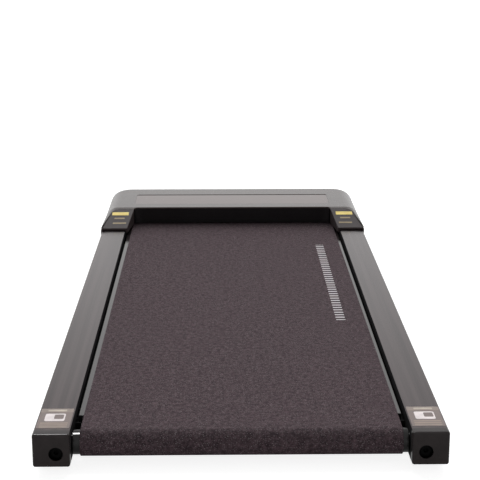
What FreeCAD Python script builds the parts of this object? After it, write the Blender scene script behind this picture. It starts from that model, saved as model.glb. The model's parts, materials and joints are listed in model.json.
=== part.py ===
import FreeCAD
import Part
import Sketcher
import os
import re
from FreeCAD import Rotation, Vector

# A slim walking pad: a motor-driven belt on a low deck between two side rails.
# Millimetres. Origin on the floor under the middle of the pad, +Y towards the motor
# hood, +X to the right of someone who walks towards the hood, +Z up.

# Driving dimensions, one cell each.
SIZES = {
    # walking belt and rollers
    "belt_width": 400,
    "belt_thick": 1.6,
    "belt_gap": 0.3,
    "belt_ground": 9.4,
    "roller_radius": 15.4,
    "roller_wall": 1.4,
    "roller_overhang": 6,
    "axle_spacing": 1064,
    "axle_radius": 7.5,
    "axle_end_gap": 0.4,
    "bearing_width": 8,
    "bearing_gap": 0.05,
    # deck and the cross beams under it
    "deck_thick": 12,
    "deck_margin": 5.3,
    "deck_gap": 2.9,
    "deck_rear_gap": 47,
    "deck_front_gap": 40,
    "cushion_thick": 2.4,
    "cushion_radius": 12,
    "cushion_inset": 30,
    "cushion_spacing": 110,
    "deck_screw_depth": 8,
    "cross_width": 30,
    "cross_wall": 2,
    "cross_inset": 60,
    "return_gap": 2.5,
    # side rails over steel beams
    "rail_width": 44.3,
    "rail_wall": 1.8,
    "rail_rise": 8,
    "rail_lip": 15,
    "rail_edge": 1.2,
    "rail_lap": 16,
    "beam_width": 18,
    "beam_wall": 2,
    "beam_nose_gap": 1,
    "fit_gap": 0.3,
    "overcut": 1,
    # rear ends: axle brackets, tension bolts, end caps
    "rear_inset": 38,
    "tension_travel": 8,
    "bracket_plate": 4,
    "bracket_shelf": 3,
    "bracket_reach": 4,
    "bracket_side_gap": 2,
    "axle_slack": 0.1,
    "bolt_radius": 4,
    "bolt_slack": 0.1,
    "bolt_edge": 7.5,
    "bolt_head_radius": 6.5,
    "bolt_head_height": 8,
    "bolt_socket": 3.4,
    "bolt_socket_depth": 4.5,
    "bolt_spare": 12,
    "end_cap_depth": 13,
    "end_cap_wall": 2.5,
    "end_cap_proud": 0.5,
    "end_cap_round": 3,
    "end_cap_seam": 0.2,
    "key_hole_radius": 8.75,
    "tongue_thick": 2.2,
    "tongue_length": 22,
    "tongue_margin": 1,
    "tongue_edge": 2,
    # hood, front caps, bezel, display
    "front_setback": 22,
    "hood_wall": 2.5,
    "hood_corner": 44,
    "hood_headroom": 9.2,
    "shoulder_radius": 26,
    "shoulder_rear": 4,
    "notch_round": 8,
    "cap_length": 82,
    "cap_step": 7,
    "cap_overhang": 3.1,
    "cap_taper": 9.6,
    "cap_rear_lip": 6,
    "cap_front_gap": 8,
    "cap_round": 21,
    "cap_shoulder": 14.5,
    "cap_flare": 0.5,
    "seam_gap": 0.4,
    "bezel_wall": 2.2,
    "bezel_ground": 2.5,
    "lens_width": 392,
    "lens_depth": 84,
    "lens_setback": 30,
    "lens_thick": 1.6,
    "lens_gap": 0.15,
    "lens_corner": 5,
    "digit_width": 13,
    "digit_depth": 22,
    "digit_height": 6,
    "digit_pitch": 18,
    "digit_gap": 0.3,
    "board_thick": 1.6,
    "board_margin": 12,
    "window_margin": 4,
    "boss_radius": 3,
    # motor and drive
    "motor_radius": 26,
    "motor_wall": 2.5,
    "motor_length": 110,
    "motor_lead": 83,
    "motor_seat_gap": 0.1,
    "motor_lift": 0.4,
    "motor_shaft_radius": 4,
    "motor_shaft_end": 2,
    "bell_thick": 6,
    "bell_gap": 4,
    "rotor_gap": 3.5,
    "rotor_end_gap": 10,
    "fan_radius": 22,
    "fan_width": 10,
    "fan_gap": 4,
    "fan_web": 3,
    "fan_rim": 3,
    "fan_hub": 4,
    "cradle_depth": 40,
    "cradle_height": 12,
    "cradle_inset": 15,
    "strap_thick": 1.5,
    "strap_width": 30,
    "strap_foot": 14,
    "drive_pulley_radius": 16.5,
    "motor_pulley_radius": 9,
    "pulley_width": 14,
    "pulley_gap": 0.5,
    "pulley_spigot": 8,
    "groove_depth": 1.2,
    "pulley_land": 1,
    "drive_belt_thick": 2,
    "drive_belt_gap": 0.3,
    "drive_belt_inset": 1,
    "nose_clear": 59,
    "base_thick": 2.5,
    "base_clear": 18.5,
    "controller_width": 150,
    "controller_gap": 8,
    "controller_height": 34,
    "controller_wall": 2,
    "controller_edge": 4,
    "fin_height": 5,
    "fin_thick": 2,
    # belly pan, feet, wheels
    "foot_height": 10,
    "foot_width": 16,
    "foot_length": 44,
    "foot_rear_inset": 65,
    "foot_front_inset": 85,
    "foot_recess": 5,
    "foot_recess_gap": 0.5,
    "pan_wall": 2,
    "pan_clear": 1.9,
    "pan_side_gap": 2.4,
    "pan_rear_gap": 15,
    "pan_front_gap": 1,
    "pan_corner": 30,
    "pan_screw_inset": 20,
    "pan_screw_edge": 8,
    "pan_head_radius": 3.5,
    "pan_head_height": 1.5,
    "wheel_radius": 19,
    "wheel_width": 18,
    "wheel_inset": 42.4,
    "wheel_ground": 3,
    "tyre_thick": 5,
    "tyre_chamfer": 2,
    "wheel_groove": 1,
    "wheel_gap": 4,
    "wheel_axle_radius": 4,
    "wheel_cheek": 2.5,
    "cheek_gap": 0.5,
    "cheek_edge": 9,
    "cheek_seat": 14,
    # power entry panel in the nose
    "panel_width": 104,
    "panel_height": 34,
    "panel_inset": 30,
    "panel_wall": 3,
    "panel_depth": 9,
    "panel_rim": 4,
    "flange_thick": 2,
    "inlet_width": 27,
    "inlet_height": 20,
    "inlet_flange": 2.5,
    "inlet_wall": 1.7,
    "inlet_depth": 16,
    "inlet_margin": 6,
    "pin_width": 4,
    "pin_thick": 2,
    "pin_length": 10,
    "pin_pitch": 7,
    "pin_offset": 2,
    "rocker_radius": 9.6,
    "rocker_width": 12.8,
    "rocker_gap": 0.3,
    "rocker_set": 2,
    "rocker_spread": 50,
    "rocker_valley": 4.2,
    "rocker_tilt": 8,
    "rocker_pivot": 1.5,
    "switch_wall": 1.8,
    "switch_flange": 1.5,
    "pivot_skin": 0.4,
    "pivot_end_gap": 0.2,
    "switch_spacing": 40,
    "breaker_spacing": 65,
    "breaker_bush": 5.5,
    "breaker_nut": 8,
    "breaker_width": 16,
    "breaker_height": 26,
    "breaker_depth": 14,
    "button_radius": 3.6,
    "button_reach": 4,
    "button_depth": 8,
    "button_travel": 3,
    # screws
    "screw_radius": 2.5,
    "screw_head_radius": 4.5,
    "screw_head_height": 3,
    "screw_gap": 0.1,
    "screw_end": 2,
}

# Places and sizes that follow from the driving dimensions.
PLACES = {
    # heights
    "wrap_radius": "roller_radius + belt_gap + belt_thick",
    "roller_high": "belt_ground + wrap_radius",
    "belt_top": "belt_ground + 2 * wrap_radius",
    "deck_top": "belt_top - belt_thick",
    "deck_low": "deck_top - deck_thick",
    "cross_top": "deck_low - cushion_thick",
    "cross_low": "belt_ground + belt_thick + return_gap",
    "rail_top": "belt_top + rail_rise",
    "beam_top": "rail_top - rail_wall - fit_gap",
    "base_top": "foot_height + base_thick",
    "motor_high": "base_top + motor_seat_gap + motor_lift + motor_radius",
    "hood_top": "motor_high + motor_radius + motor_seat_gap + strap_thick + hood_headroom + hood_wall",
    "pan_top": "roller_high - drive_pulley_radius - drive_belt_gap - drive_belt_thick - pan_clear",
    "pan_low": "pan_top - pan_wall",
    "wheel_high": "wheel_ground + wheel_radius",
    # widths, from the middle to one side
    "belt_half": "belt_width / 2",
    "deck_half": "belt_half + deck_margin",
    "rail_in": "deck_half + deck_gap",
    "rail_out": "rail_in + rail_width",
    "half_width": "rail_out + fit_gap + hood_wall + cap_flare",
    "beam_out": "rail_out - rail_wall - fit_gap",
    "nose_half": "beam_out + fit_gap + hood_wall",
    "beam_in": "beam_out - beam_width",
    "beam_mid": "beam_in + beam_width / 2",
    "axle_half": "beam_in - axle_end_gap",
    "bolt_place": "axle_half - bolt_edge",
    "roller_half": "belt_half + roller_overhang",
    "bracket_in": "rail_in + rail_wall + bracket_side_gap",
    "pulley_in": "roller_half + pulley_gap",
    "pulley_out": "pulley_in + pulley_width",
    "cap_in_rear": "rail_in - cap_overhang",
    "cap_in_front": "cap_in_rear - cap_taper",
    "cap_out_front": "half_width - cap_shoulder",
    "cap_out_rear": "half_width - hood_wall",
    "pan_half": "beam_in - pan_side_gap",
    "wheel_place": "beam_in - wheel_inset",
    "cheek_in": "wheel_place - wheel_width / 2 - cheek_gap - wheel_cheek",
    "cushion_out": "belt_half - cushion_inset",
    "cushion_mid": "cushion_out - cushion_spacing",
    # lengths, along the pad
    "nose_length": "motor_lead + motor_radius + nose_clear",
    "half_length": "(rear_inset + axle_spacing + nose_length) / 2",
    "rear_axle_place": "rear_inset - half_length",
    "front_axle_place": "rear_axle_place + axle_spacing",
    "wall_place": "front_axle_place - front_setback",
    "cap_rear": "wall_place - cap_length",
    "cap_front": "wall_place - cap_front_gap",
    "deck_rear": "rear_axle_place + deck_rear_gap",
    "deck_front": "front_axle_place - deck_front_gap",
    "rail_rear": "end_cap_depth + end_cap_seam - half_length",
    "rail_front": "cap_rear + rail_lap",
    "beam_rear": "rail_rear + bracket_plate",
    "beam_front": "half_length - hood_corner - beam_nose_gap",
    "motor_place": "front_axle_place + motor_lead",
    "base_rear": "front_axle_place + drive_pulley_radius + base_clear",
    "wheel_front": "half_length - wheel_radius",
    "base_front": "wheel_front - wheel_radius - wheel_gap",
    "pan_rear": "front_axle_place - wrap_radius - pan_rear_gap",
    "pan_front": "half_length - hood_wall - pan_front_gap",
    "lens_rear": "wall_place + lens_setback",
    "lens_mid": "lens_rear + lens_depth / 2",
    "panel_face": "half_length - hood_wall - panel_depth",
    # motor, along its own axis
    "bell_left": "bell_gap - cheek_in",
    "can_left": "bell_left + bell_thick",
    "can_right": "can_left + motor_length",
    "bell_right": "can_right + bell_thick",
    "fan_left": "bell_right + fan_gap",
    "shaft_right": "fan_left + fan_width + motor_shaft_end",
    "controller_start": "shaft_right + controller_gap",
    # drive belt run between its two pulleys
    "drive_rise": "motor_high - roller_high",
    "drive_span": "sqrt(motor_lead ^ 2 + drive_rise ^ 2)",
    "drive_lean": "atan2(drive_rise; motor_lead)",
    "drive_wrap": "acos((drive_pulley_radius - motor_pulley_radius) / drive_span)",
    # power entry
    "panel_end": "cheek_in - panel_inset",
    "panel_start": "panel_end - panel_width",
    "panel_high": "foot_height + panel_rim + panel_height / 2",
    "inlet_place": "panel_end - panel_rim - inlet_flange - inlet_width / 2 - inlet_margin",
    "switch_place": "inlet_place - switch_spacing",
    "breaker_place": "inlet_place - breaker_spacing",
    "rocker_place": "panel_face - rocker_set",
}

SIDES = {"left": "-1", "right": "1"}
AXIS_TURN = {
    "x": Rotation(),
    "y": Rotation(Vector(0, 0, 1), 90),
    "z": Rotation(Vector(0, 1, 0), -90),
}
CYLINDER_TURN = {
    "x": Rotation(Vector(0, 1, 0), 90),
    "y": Rotation(Vector(1, 0, 0), -90),
    "z": Rotation(),
}
ACROSS = {"x": ("y", "z"), "y": ("x", "z"), "z": ("x", "y")}

doc = FreeCAD.newDocument("walking_pad")
nodes = []


# The two sheets.

def fill_sheet(name, cells):
    sheet = doc.addObject("Spreadsheet::Sheet", name)
    for row, (alias, content) in enumerate(cells.items(), start=1):
        sheet.set("A%d" % row, alias.replace("_", " "))
        sheet.set("B%d" % row, content)
        sheet.setAlias("B%d" % row, alias)
    doc.recompute()
    return sheet


def bound(text):
    """Write the sheet's name in front of each alias in an expression."""
    def full_name(match):
        word = match.group()
        if word in SIZES:
            return "Sizes." + word
        return "Places." + word if word in PLACES else word
    return re.sub(r"[a-z_]+", full_name, text)


fill_sheet("Sizes", {alias: str(value) for alias, value in SIZES.items()})
places = fill_sheet("Places", {alias: "=" + bound(text) for alias, text in PLACES.items()})


def number(text):
    value = places.evalExpression(bound(text))
    return float(getattr(value, "Value", value))


def bind(item, prop, text):
    item.setExpression(prop, bound(text))


# Building blocks.

def block(name, x, y, z):
    box = doc.addObject("Part::Box", name)
    for prop, axis, (low, high) in (("Length", "x", x), ("Width", "y", y), ("Height", "z", z)):
        bind(box, prop, "(%s) - (%s)" % (high, low))
        bind(box, "Placement.Base." + axis, low)
    return box


def rod(name, axis, radius, low, high, across):
    """A round bar along an axis, with its centre line at two places across it."""
    bar = doc.addObject("Part::Cylinder", name)
    bar.Placement.Rotation = CYLINDER_TURN[axis]
    bind(bar, "Radius", radius)
    bind(bar, "Height", "(%s) - (%s)" % (high, low))
    bind(bar, "Placement.Base." + axis, low)
    for other, place in zip(ACROSS[axis], across):
        bind(bar, "Placement.Base." + other, place)
    return bar


def arc_between(start, end, radius, turn):
    """The short arc from start to end; it turns left for 1 and right for -1."""
    chord = end - start
    middle = (start + end) / 2
    rise = max(radius ** 2 - chord.Length ** 2 / 4, 0) ** 0.5
    side = Vector(-chord.y, chord.x, 0).normalize() * rise * turn
    circle = Part.Circle(middle + side, Vector(0, 0, 1), radius)
    first, last = (start, end) if turn > 0 else (end, start)
    return Part.ArcOfCircle(circle, circle.parameter(first), circle.parameter(last))


def draw(body, name, plane, outline, offset):
    """A closed sketch. A corner is (x, y), or (x, y, radius, turn) where an arc follows it."""
    sketch = body.newObject("Sketcher::SketchObject", name)
    support = next(item for item in body.Origin.OriginFeatures if item.Role == plane)
    sketch.AttachmentSupport = (support, [""])
    sketch.MapMode = "FlatFace"
    bind(sketch, "AttachmentOffset.Base.z", offset)
    points = [Vector(number(corner[0]), number(corner[1]), 0) for corner in outline]
    ends = []
    for place, corner in enumerate(outline):
        start = points[place]
        end = points[(place + 1) % len(points)]
        if len(corner) == 2:
            sketch.addGeometry(Part.LineSegment(start, end), False)
        else:
            sketch.addGeometry(arc_between(start, end, number(corner[2]), corner[3]), False)
        backwards = len(corner) == 4 and corner[3] < 0
        ends.append((2, 1) if backwards else (1, 2))
    for place, corner in enumerate(outline):
        following = (place + 1) % len(outline)
        meet = ("Coincident", place, ends[place][1], following, ends[following][0])
        sketch.addConstraint(Sketcher.Constraint(*meet))
        for kind, text, value in (("DistanceX", corner[0], points[place].x),
                                  ("DistanceY", corner[1], points[place].y)):
            spot = (kind, -1, 1, place, ends[place][0], value)
            bind(sketch, "Constraints[%d]" % sketch.addConstraint(Sketcher.Constraint(*spot)), text)
        if len(corner) == 4:
            bend = Sketcher.Constraint("Radius", place, number(corner[2]))
            bind(sketch, "Constraints[%d]" % sketch.addConstraint(bend), corner[2])
    return sketch


def prism(name, plane, outline, low, high):
    """A body padded from low to high across a plane: XY along Z, XZ along Y, YZ along X."""
    body = doc.addObject("PartDesign::Body", name)
    offset = "-(%s)" % high if plane == "XZ_Plane" else low
    pad = body.newObject("PartDesign::Pad", name + "_pad")
    pad.Profile = draw(body, name + "_outline", plane, outline, offset)
    bind(pad, "Length", "(%s) - (%s)" % (high, low))
    body.Tip = pad
    return body


def turned(name, axis, outline, across):
    """A body turned about an axis. Its outline is (place along the axis, radius)."""
    body = doc.addObject("PartDesign::Body", name)
    body.Placement.Rotation = AXIS_TURN[axis]
    for other, place in zip(ACROSS[axis], across):
        bind(body, "Placement.Base." + other, place)
    sketch = draw(body, name + "_outline", "XY_Plane", outline, "0")
    turn = body.newObject("PartDesign::Revolution", name + "_turn")
    turn.Profile = sketch
    turn.ReferenceAxis = (sketch, ["H_Axis"])
    turn.Angle = 360
    body.Tip = turn
    return body


def round_edges(body, name, chosen, radius):
    """Fillet the edges of a body's tip that a test picks."""
    doc.recompute()
    base = body.Tip
    picked = ["Edge%d" % place for place, edge in enumerate(base.Shape.Edges, start=1) if chosen(edge)]
    fillet = body.newObject("PartDesign::Fillet", name)
    fillet.Base = (base, picked)
    bind(fillet, "Radius", radius)
    body.Tip = fillet


def runs_along(edge, axis):
    direction = edge.tangentAt(edge.FirstParameter)
    return abs(getattr(direction, axis)) > 0.999


def fuse(name, *pieces):
    joined = doc.addObject("Part::MultiFuse", name)
    joined.Shapes = list(pieces)
    joined.Refine = True
    return joined


def cut(name, base, *tools):
    result = doc.addObject("Part::Cut", name)
    result.Base = base
    result.Tool = tools[0] if len(tools) == 1 else fuse(name + "_tools", *tools)
    result.Refine = True
    return result


def common(name, first, second):
    result = doc.addObject("Part::Common", name)
    result.Base = first
    result.Tool = second
    result.Refine = True
    return result


def group(name, pieces):
    result = doc.addObject("Part::Compound", name)
    result.Links = list(pieces)
    return result


def node(label, item):
    item.Label = label
    nodes.append(item)
    return item


def mirrored(side, low, high):
    """An interval on the right side, carried to either side."""
    if side == "right":
        return (low, high)
    return ("-(%s)" % high, "-(%s)" % low)


def signed(side, text):
    return "%s * (%s)" % (SIDES[side], text)


def centred(middle, half):
    return ("%s - (%s)" % (middle, half), "%s + (%s)" % (middle, half))


def screw(name, axis, seat, head, tip, across):
    """A pan-head screw along an axis: seat under the head, head beyond it, tip at the far end."""
    return turned(name, axis, [(head, "0"), (head, "screw_head_radius"), (seat, "screw_head_radius"),
                               (seat, "screw_radius"), (tip, "screw_radius"), (tip, "0")], across)


# Deck, its rubber cushions and the cross beams that carry it.

CROSS_PLACES = {
    "rear": "deck_rear + cross_inset",
    "middle": "(deck_rear + deck_front) / 2",
    "front": "deck_front - cross_inset",
}
CUSHION_PLACES = ["-(cushion_out)", "-(cushion_mid)", "cushion_mid", "cushion_out"]


def make_deck():
    cushions = []
    screws = []
    deck_holes = []
    for name, place in CROSS_PLACES.items():
        beam_holes = []
        for spot, across in enumerate(CUSHION_PLACES):
            tag = "%s_%d" % (name, spot)
            centre = (across, place)
            pad = rod("cushion_" + tag, "z", "cushion_radius", "cross_top", "deck_low", centre)
            hole = rod("cushion_hole_" + tag, "z", "screw_radius + screw_gap", "cross_top", "deck_low",
                       centre)
            cushions.append(cut("cushion_ring_" + tag, pad, hole))
            seat = "cross_top - cross_wall"
            tip = "deck_low + deck_screw_depth"
            head = seat + " - screw_head_height"
            screws.append(screw("deck_screw_" + tag, "z", seat, head, tip, centre))
            deck_holes.append(rod("deck_hole_" + tag, "z", "screw_radius + screw_gap", "deck_low",
                                  tip + " + screw_gap", centre))
            beam_holes.append(rod("cross_hole_" + tag, "z", "screw_radius + screw_gap", seat, "cross_top",
                                  centre))
        half = "cross_width / 2"
        wall = "(cross_width / 2 - cross_wall)"
        channel = [("%s - %s" % (place, half), "cross_low"), ("%s - %s" % (place, wall), "cross_low"),
                   ("%s - %s" % (place, wall), "cross_top - cross_wall"),
                   ("%s + %s" % (place, wall), "cross_top - cross_wall"),
                   ("%s + %s" % (place, wall), "cross_low"), ("%s + %s" % (place, half), "cross_low"),
                   ("%s + %s" % (place, half), "cross_top"), ("%s - %s" % (place, half), "cross_top")]
        beam = prism("cross_channel_" + name, "YZ_Plane", channel, "-beam_in", "beam_in")
        node("cross_beam_" + name, cut("cross_beam_" + name, beam, *beam_holes))
    board = block("deck_slab", ("-deck_half", "deck_half"), ("deck_rear", "deck_front"),
                  ("deck_low", "deck_top"))
    node("deck_board", cut("deck_board", board, *deck_holes))
    node("deck_cushions", group("deck_cushions", cushions))
    node("deck_screws", group("deck_screws", screws))


# Walking belt: one endless loop round both rollers.

def loop_outline(radius):
    rear = "rear_axle_place"
    front = "front_axle_place"
    low = "roller_high - (%s)" % radius
    high = "roller_high + (%s)" % radius
    return [(rear, low), (front, low, radius, 1), ("%s + %s" % (front, radius), "roller_high", radius, 1),
            (front, high), (rear, high, radius, 1), ("%s - (%s)" % (rear, radius), "roller_high", radius, 1)]


def make_walking_belt():
    outer = prism("belt_outside", "YZ_Plane", loop_outline("wrap_radius"), "-belt_half", "belt_half")
    inner_radius = "(roller_radius + belt_gap)"
    inner = prism("belt_inside", "YZ_Plane", loop_outline(inner_radius), "-belt_half", "belt_half")
    node("walking_belt", cut("walking_belt", outer, inner))


# Rollers: a steel tube on two bearings, each on a fixed axle.

def make_roller(name, place):
    low, high = "-roller_half", "roller_half"
    bore = "roller_radius - roller_wall"
    tube = rod(name + "_skin", "x", "roller_radius", low, high, (place, "roller_high"))
    inside = rod(name + "_bore", "x", bore, low, high, (place, "roller_high"))
    node(name + "_tube", cut(name + "_tube", tube, inside))
    rings = []
    for side in SIDES:
        beside_pulley = (name, side) == ("front_roller", "left")
        start = "roller_half - bearing_width" + (" - pulley_spigot" if beside_pulley else "")
        span = mirrored(side, start, start + " + bearing_width")
        ring = rod("%s_ring_%s" % (name, side), "x", bore, *span, (place, "roller_high"))
        eye = rod("%s_eye_%s" % (name, side), "x", "axle_radius + bearing_gap", *span, (place, "roller_high"))
        rings.append(cut("%s_bearing_%s" % (name, side), ring, eye))
    node(name + "_bearings", group(name + "_bearings", rings))


def make_axles():
    node("front_axle", rod("front_axle", "x", "axle_radius", "-(beam_in + bolt_edge)", "beam_in + bolt_edge",
                           ("front_axle_place", "roller_high")))
    bar = rod("rear_axle_bar", "x", "axle_radius", "-axle_half", "axle_half",
              ("rear_axle_place", "roller_high"))
    holes = [rod("axle_bolt_hole_" + side, "y", "bolt_radius + bolt_slack", "rear_axle_place - axle_radius",
                 "rear_axle_place + axle_radius", (signed(side, "bolt_place"), "roller_high"))
             for side in SIDES]
    node("rear_axle", cut("rear_axle", bar, *holes))


# Side beams: rectangular steel tubes that carry everything, with brackets welded on at the rear.

FOOT_PLACES = {"rear": "foot_rear_inset - half_length", "front": "half_length - foot_front_inset"}
TONGUE_SCREW = "rail_rear + tongue_length - screw_head_radius - tongue_edge"


def make_beam(side):
    y = ("beam_rear", "beam_front")
    shell = block("beam_box_" + side, mirrored(side, "beam_in", "beam_out"), y, ("foot_height", "beam_top"))
    hollow = block("beam_hollow_" + side, mirrored(side, "beam_in + beam_wall", "beam_out - beam_wall"), y,
                   ("foot_height + beam_wall", "beam_top - beam_wall"))
    holes = [rod("beam_axle_hole_" + side, "x", "axle_radius + bearing_gap",
                 *mirrored(side, "beam_in", "beam_in + beam_wall"), ("front_axle_place", "roller_high"))]
    for name, place in dict(FOOT_PLACES, cap=TONGUE_SCREW).items():
        holes.append(rod("beam_%s_hole_%s" % (name, side), "z", "screw_radius + screw_gap", "foot_height",
                         "foot_height + beam_wall", (signed(side, "beam_mid"), place)))
    node("side_beam_" + side, cut("side_beam_" + side, shell, hollow, *holes))


def make_tension_bracket(side):
    slot_low = "roller_high - axle_radius - axle_slack"
    slot_high = "roller_high + axle_radius + axle_slack"
    reach = "rear_axle_place + axle_radius + tension_travel + bracket_reach"
    fork = [("rail_rear", slot_low + " - bracket_shelf"), (reach, slot_low + " - bracket_shelf"),
            (reach, slot_low), ("beam_rear", slot_low), ("beam_rear", slot_high), (reach, slot_high),
            (reach, slot_high + " + bracket_shelf"), ("rail_rear", slot_high + " + bracket_shelf")]
    ears = prism("bracket_fork_" + side, "YZ_Plane", fork, *mirrored(side, "bracket_in", "beam_in"))
    plate = block("bracket_face_" + side, mirrored(side, "bracket_in", "beam_out"),
                  ("rail_rear", "beam_rear"), ("foot_height + beam_wall", "beam_top"))
    hole = rod("bracket_hole_" + side, "y", "bolt_radius + bolt_slack", "rail_rear", "beam_rear",
               (signed(side, "bolt_place"), "roller_high"))
    blank = fuse("bracket_" + side, ears, plate)
    node("tension_bracket_" + side, cut("tension_bracket_" + side, blank, hole))


def make_tension_bolt(side):
    head = "rail_rear - bolt_head_height"
    tip = "rear_axle_place + axle_radius + tension_travel + bolt_spare"
    outline = [(head, "0"), (head, "bolt_head_radius"), ("rail_rear", "bolt_head_radius"),
               ("rail_rear", "bolt_radius"), (tip, "bolt_radius"), (tip, "0")]
    centre = (signed(side, "bolt_place"), "roller_high")
    shank = turned("tension_screw_" + side, "y", outline, centre)
    socket = doc.addObject("Part::Prism", "bolt_socket_" + side)
    socket.Polygon = 6
    socket.Placement.Rotation = CYLINDER_TURN["y"]
    bind(socket, "Circumradius", "bolt_socket")
    bind(socket, "Height", "bolt_socket_depth")
    for axis, place in (("x", centre[0]), ("y", head), ("z", centre[1])):
        bind(socket, "Placement.Base." + axis, place)
    node("tension_bolt_" + side, cut("tension_bolt_" + side, shank, socket))


# Side rails: extruded covers over the beams, with a lip beside the deck.

def make_rail(side):
    lip_low = "rail_top - rail_lip"
    section = [("rail_in", lip_low), ("rail_in + rail_wall", lip_low),
               ("rail_in + rail_wall", "rail_top - rail_wall"),
               ("rail_out - rail_wall", "rail_top - rail_wall"),
               ("rail_out - rail_wall", "foot_height"), ("rail_out", "foot_height"),
               ("rail_out", "rail_top"), ("rail_in", "rail_top")]
    section = [(signed(side, x), z) for x, z in section]
    rail = prism("side_rail_" + side, "XZ_Plane", section, "rail_rear", "rail_front")
    top = number("rail_top")
    round_edges(rail, "rail_rounding_" + side,
                lambda edge: runs_along(edge, "y") and abs(edge.CenterOfMass.z - top) < 0.01, "rail_edge")
    node("side_rail_" + side, rail)


# Rear end caps: moulded boxes with a hole for the hex key, screwed up into the beam by a tongue.

def make_rear_cap(side):
    x = mirrored(side, "rail_in - end_cap_proud", "rail_out + end_cap_proud")
    z = ("foot_height - end_cap_proud", "rail_top + end_cap_proud")
    rear = "-half_length"
    front = "end_cap_depth - half_length"
    outline = [(x[0], z[0]), (x[1], z[0]), (x[1], z[1]), (x[0], z[1])]
    shell = prism("cap_box_" + side, "XZ_Plane", outline, rear, front)
    rear_face = number(rear)
    round_edges(shell, "cap_corner_rounding_" + side,
                lambda edge: runs_along(edge, "y"), "end_cap_round")
    round_edges(shell, "cap_rear_rounding_" + side,
                lambda edge: abs(edge.BoundBox.YMax - rear_face) < 0.01, "end_cap_round")
    inside = "end_cap_wall"
    hollow = block("cap_hollow_" + side, ("%s + %s" % (x[0], inside), "%s - %s" % (x[1], inside)),
                   ("%s + %s" % (rear, inside), front),
                   ("%s + %s" % (z[0], inside), "%s - %s" % (z[1], inside)))
    hole = rod("cap_key_hole_" + side, "y", "key_hole_radius", rear, "%s + %s" % (rear, inside),
               (signed(side, "bolt_place"), "roller_high"))
    tongue = block("cap_tongue_" + side,
                   mirrored(side, "beam_in + tongue_margin", "beam_out - tongue_margin"),
                   (front + " - end_cap_wall", "rail_rear + tongue_length"),
                   ("foot_height - fit_gap - tongue_thick", "foot_height - fit_gap"))
    tongue_hole = rod("cap_tongue_hole_" + side, "z", "screw_radius + screw_gap",
                      "foot_height - fit_gap - tongue_thick", "foot_height - fit_gap",
                      (signed(side, "beam_mid"), TONGUE_SCREW))
    node("rear_cap_" + side, cut("rear_cap_" + side, fuse("cap_moulding_" + side, shell, tongue),
                                 hollow, hole, tongue_hole))
    seat = "foot_height - fit_gap - tongue_thick"
    return screw("cap_screw_" + side, "z", seat, seat + " - screw_head_height",
                 "foot_height + beam_wall + screw_end", (signed(side, "beam_mid"), TONGUE_SCREW))


# The hood's outer form, or the same form set in by a wall: a nose with rounded corners and
# shoulders, and behind its rear wall a ramp that widens and flattens towards the rails.

def shoulder_section(inset, width, height, radius):
    half = "(%s - %s)" % (width, inset)
    top = "(%s - %s)" % (height, inset)
    bend = "(%s - %s)" % (radius, inset)
    low = "foot_height" if inset == "0" else "0"
    return [("-" + half, low), (half, low), (half, "%s - %s" % (top, bend), bend, 1),
            ("%s - %s" % (half, bend), top), ("%s - %s" % (bend, half), top, bend, 1),
            ("-" + half, "%s - %s" % (top, bend))]


def hood_form(name, inset):
    half = "(nose_half - %s)" % inset
    front = "(half_length - %s)" % inset
    low = "foot_height" if inset == "0" else "0"
    outline = [("-" + half, "wall_place"), (half, "wall_place"), (half, front), ("-" + half, front)]
    form = prism(name, "XY_Plane", outline, low, "hood_top - %s" % inset)
    nose = number(front)
    top = number("hood_top - %s" % inset)
    wall = number("wall_place")
    round_edges(form, name + "_corners",
                lambda edge: runs_along(edge, "z") and abs(edge.CenterOfMass.y - nose) < 0.01,
                "hood_corner - %s" % inset)
    round_edges(form, name + "_shoulders",
                lambda edge: edge.BoundBox.ZMin > top - 0.01 and edge.BoundBox.YMax > wall + 0.01,
                "shoulder_radius - %s" % inset)
    loft = form.newObject("PartDesign::AdditiveLoft", name + "_ramp")
    loft.Profile = draw(form, name + "_wall_section", "XZ_Plane",
                        shoulder_section(inset, "nose_half", "hood_top", "shoulder_radius"), "-wall_place")
    loft.Sections = [draw(form, name + "_rear_section", "XZ_Plane",
                          shoulder_section(inset, "half_width", "rail_top + cap_step", "shoulder_rear"),
                          "-(cap_rear + %s)" % inset)]
    loft.Ruled = True
    form.Tip = loft
    return form


# Plan of a front cap: inner edge along the belt, outer edge along the hood's shoulder.

def cap_plan(side, gap):
    rear_lip = "cap_rear + cap_rear_lip + %s" % gap
    front = "cap_front + %s" % gap
    beyond = "half_width + overcut"
    corner = "(cap_round + %s)" % gap
    out_front = "cap_out_front + %s" % gap
    out_rear = "cap_out_rear + %s" % gap
    plan = [("cap_in_rear - %s" % gap, "cap_rear - overcut"), (beyond, "cap_rear - overcut"),
            (beyond, rear_lip), (out_rear, rear_lip),
            (out_front, "%s - %s" % (front, corner), corner, 1),
            ("%s - %s" % (out_front, corner), front), ("cap_in_front - %s" % gap, front)]
    if side == "right":
        return plan
    return [mirror_corner(corner) for corner in plan]


def mirror_corner(corner):
    flipped = ("-(%s)" % corner[0],) + corner[1:]
    return flipped if len(flipped) == 2 else flipped[:3] + (-flipped[3],)


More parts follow.
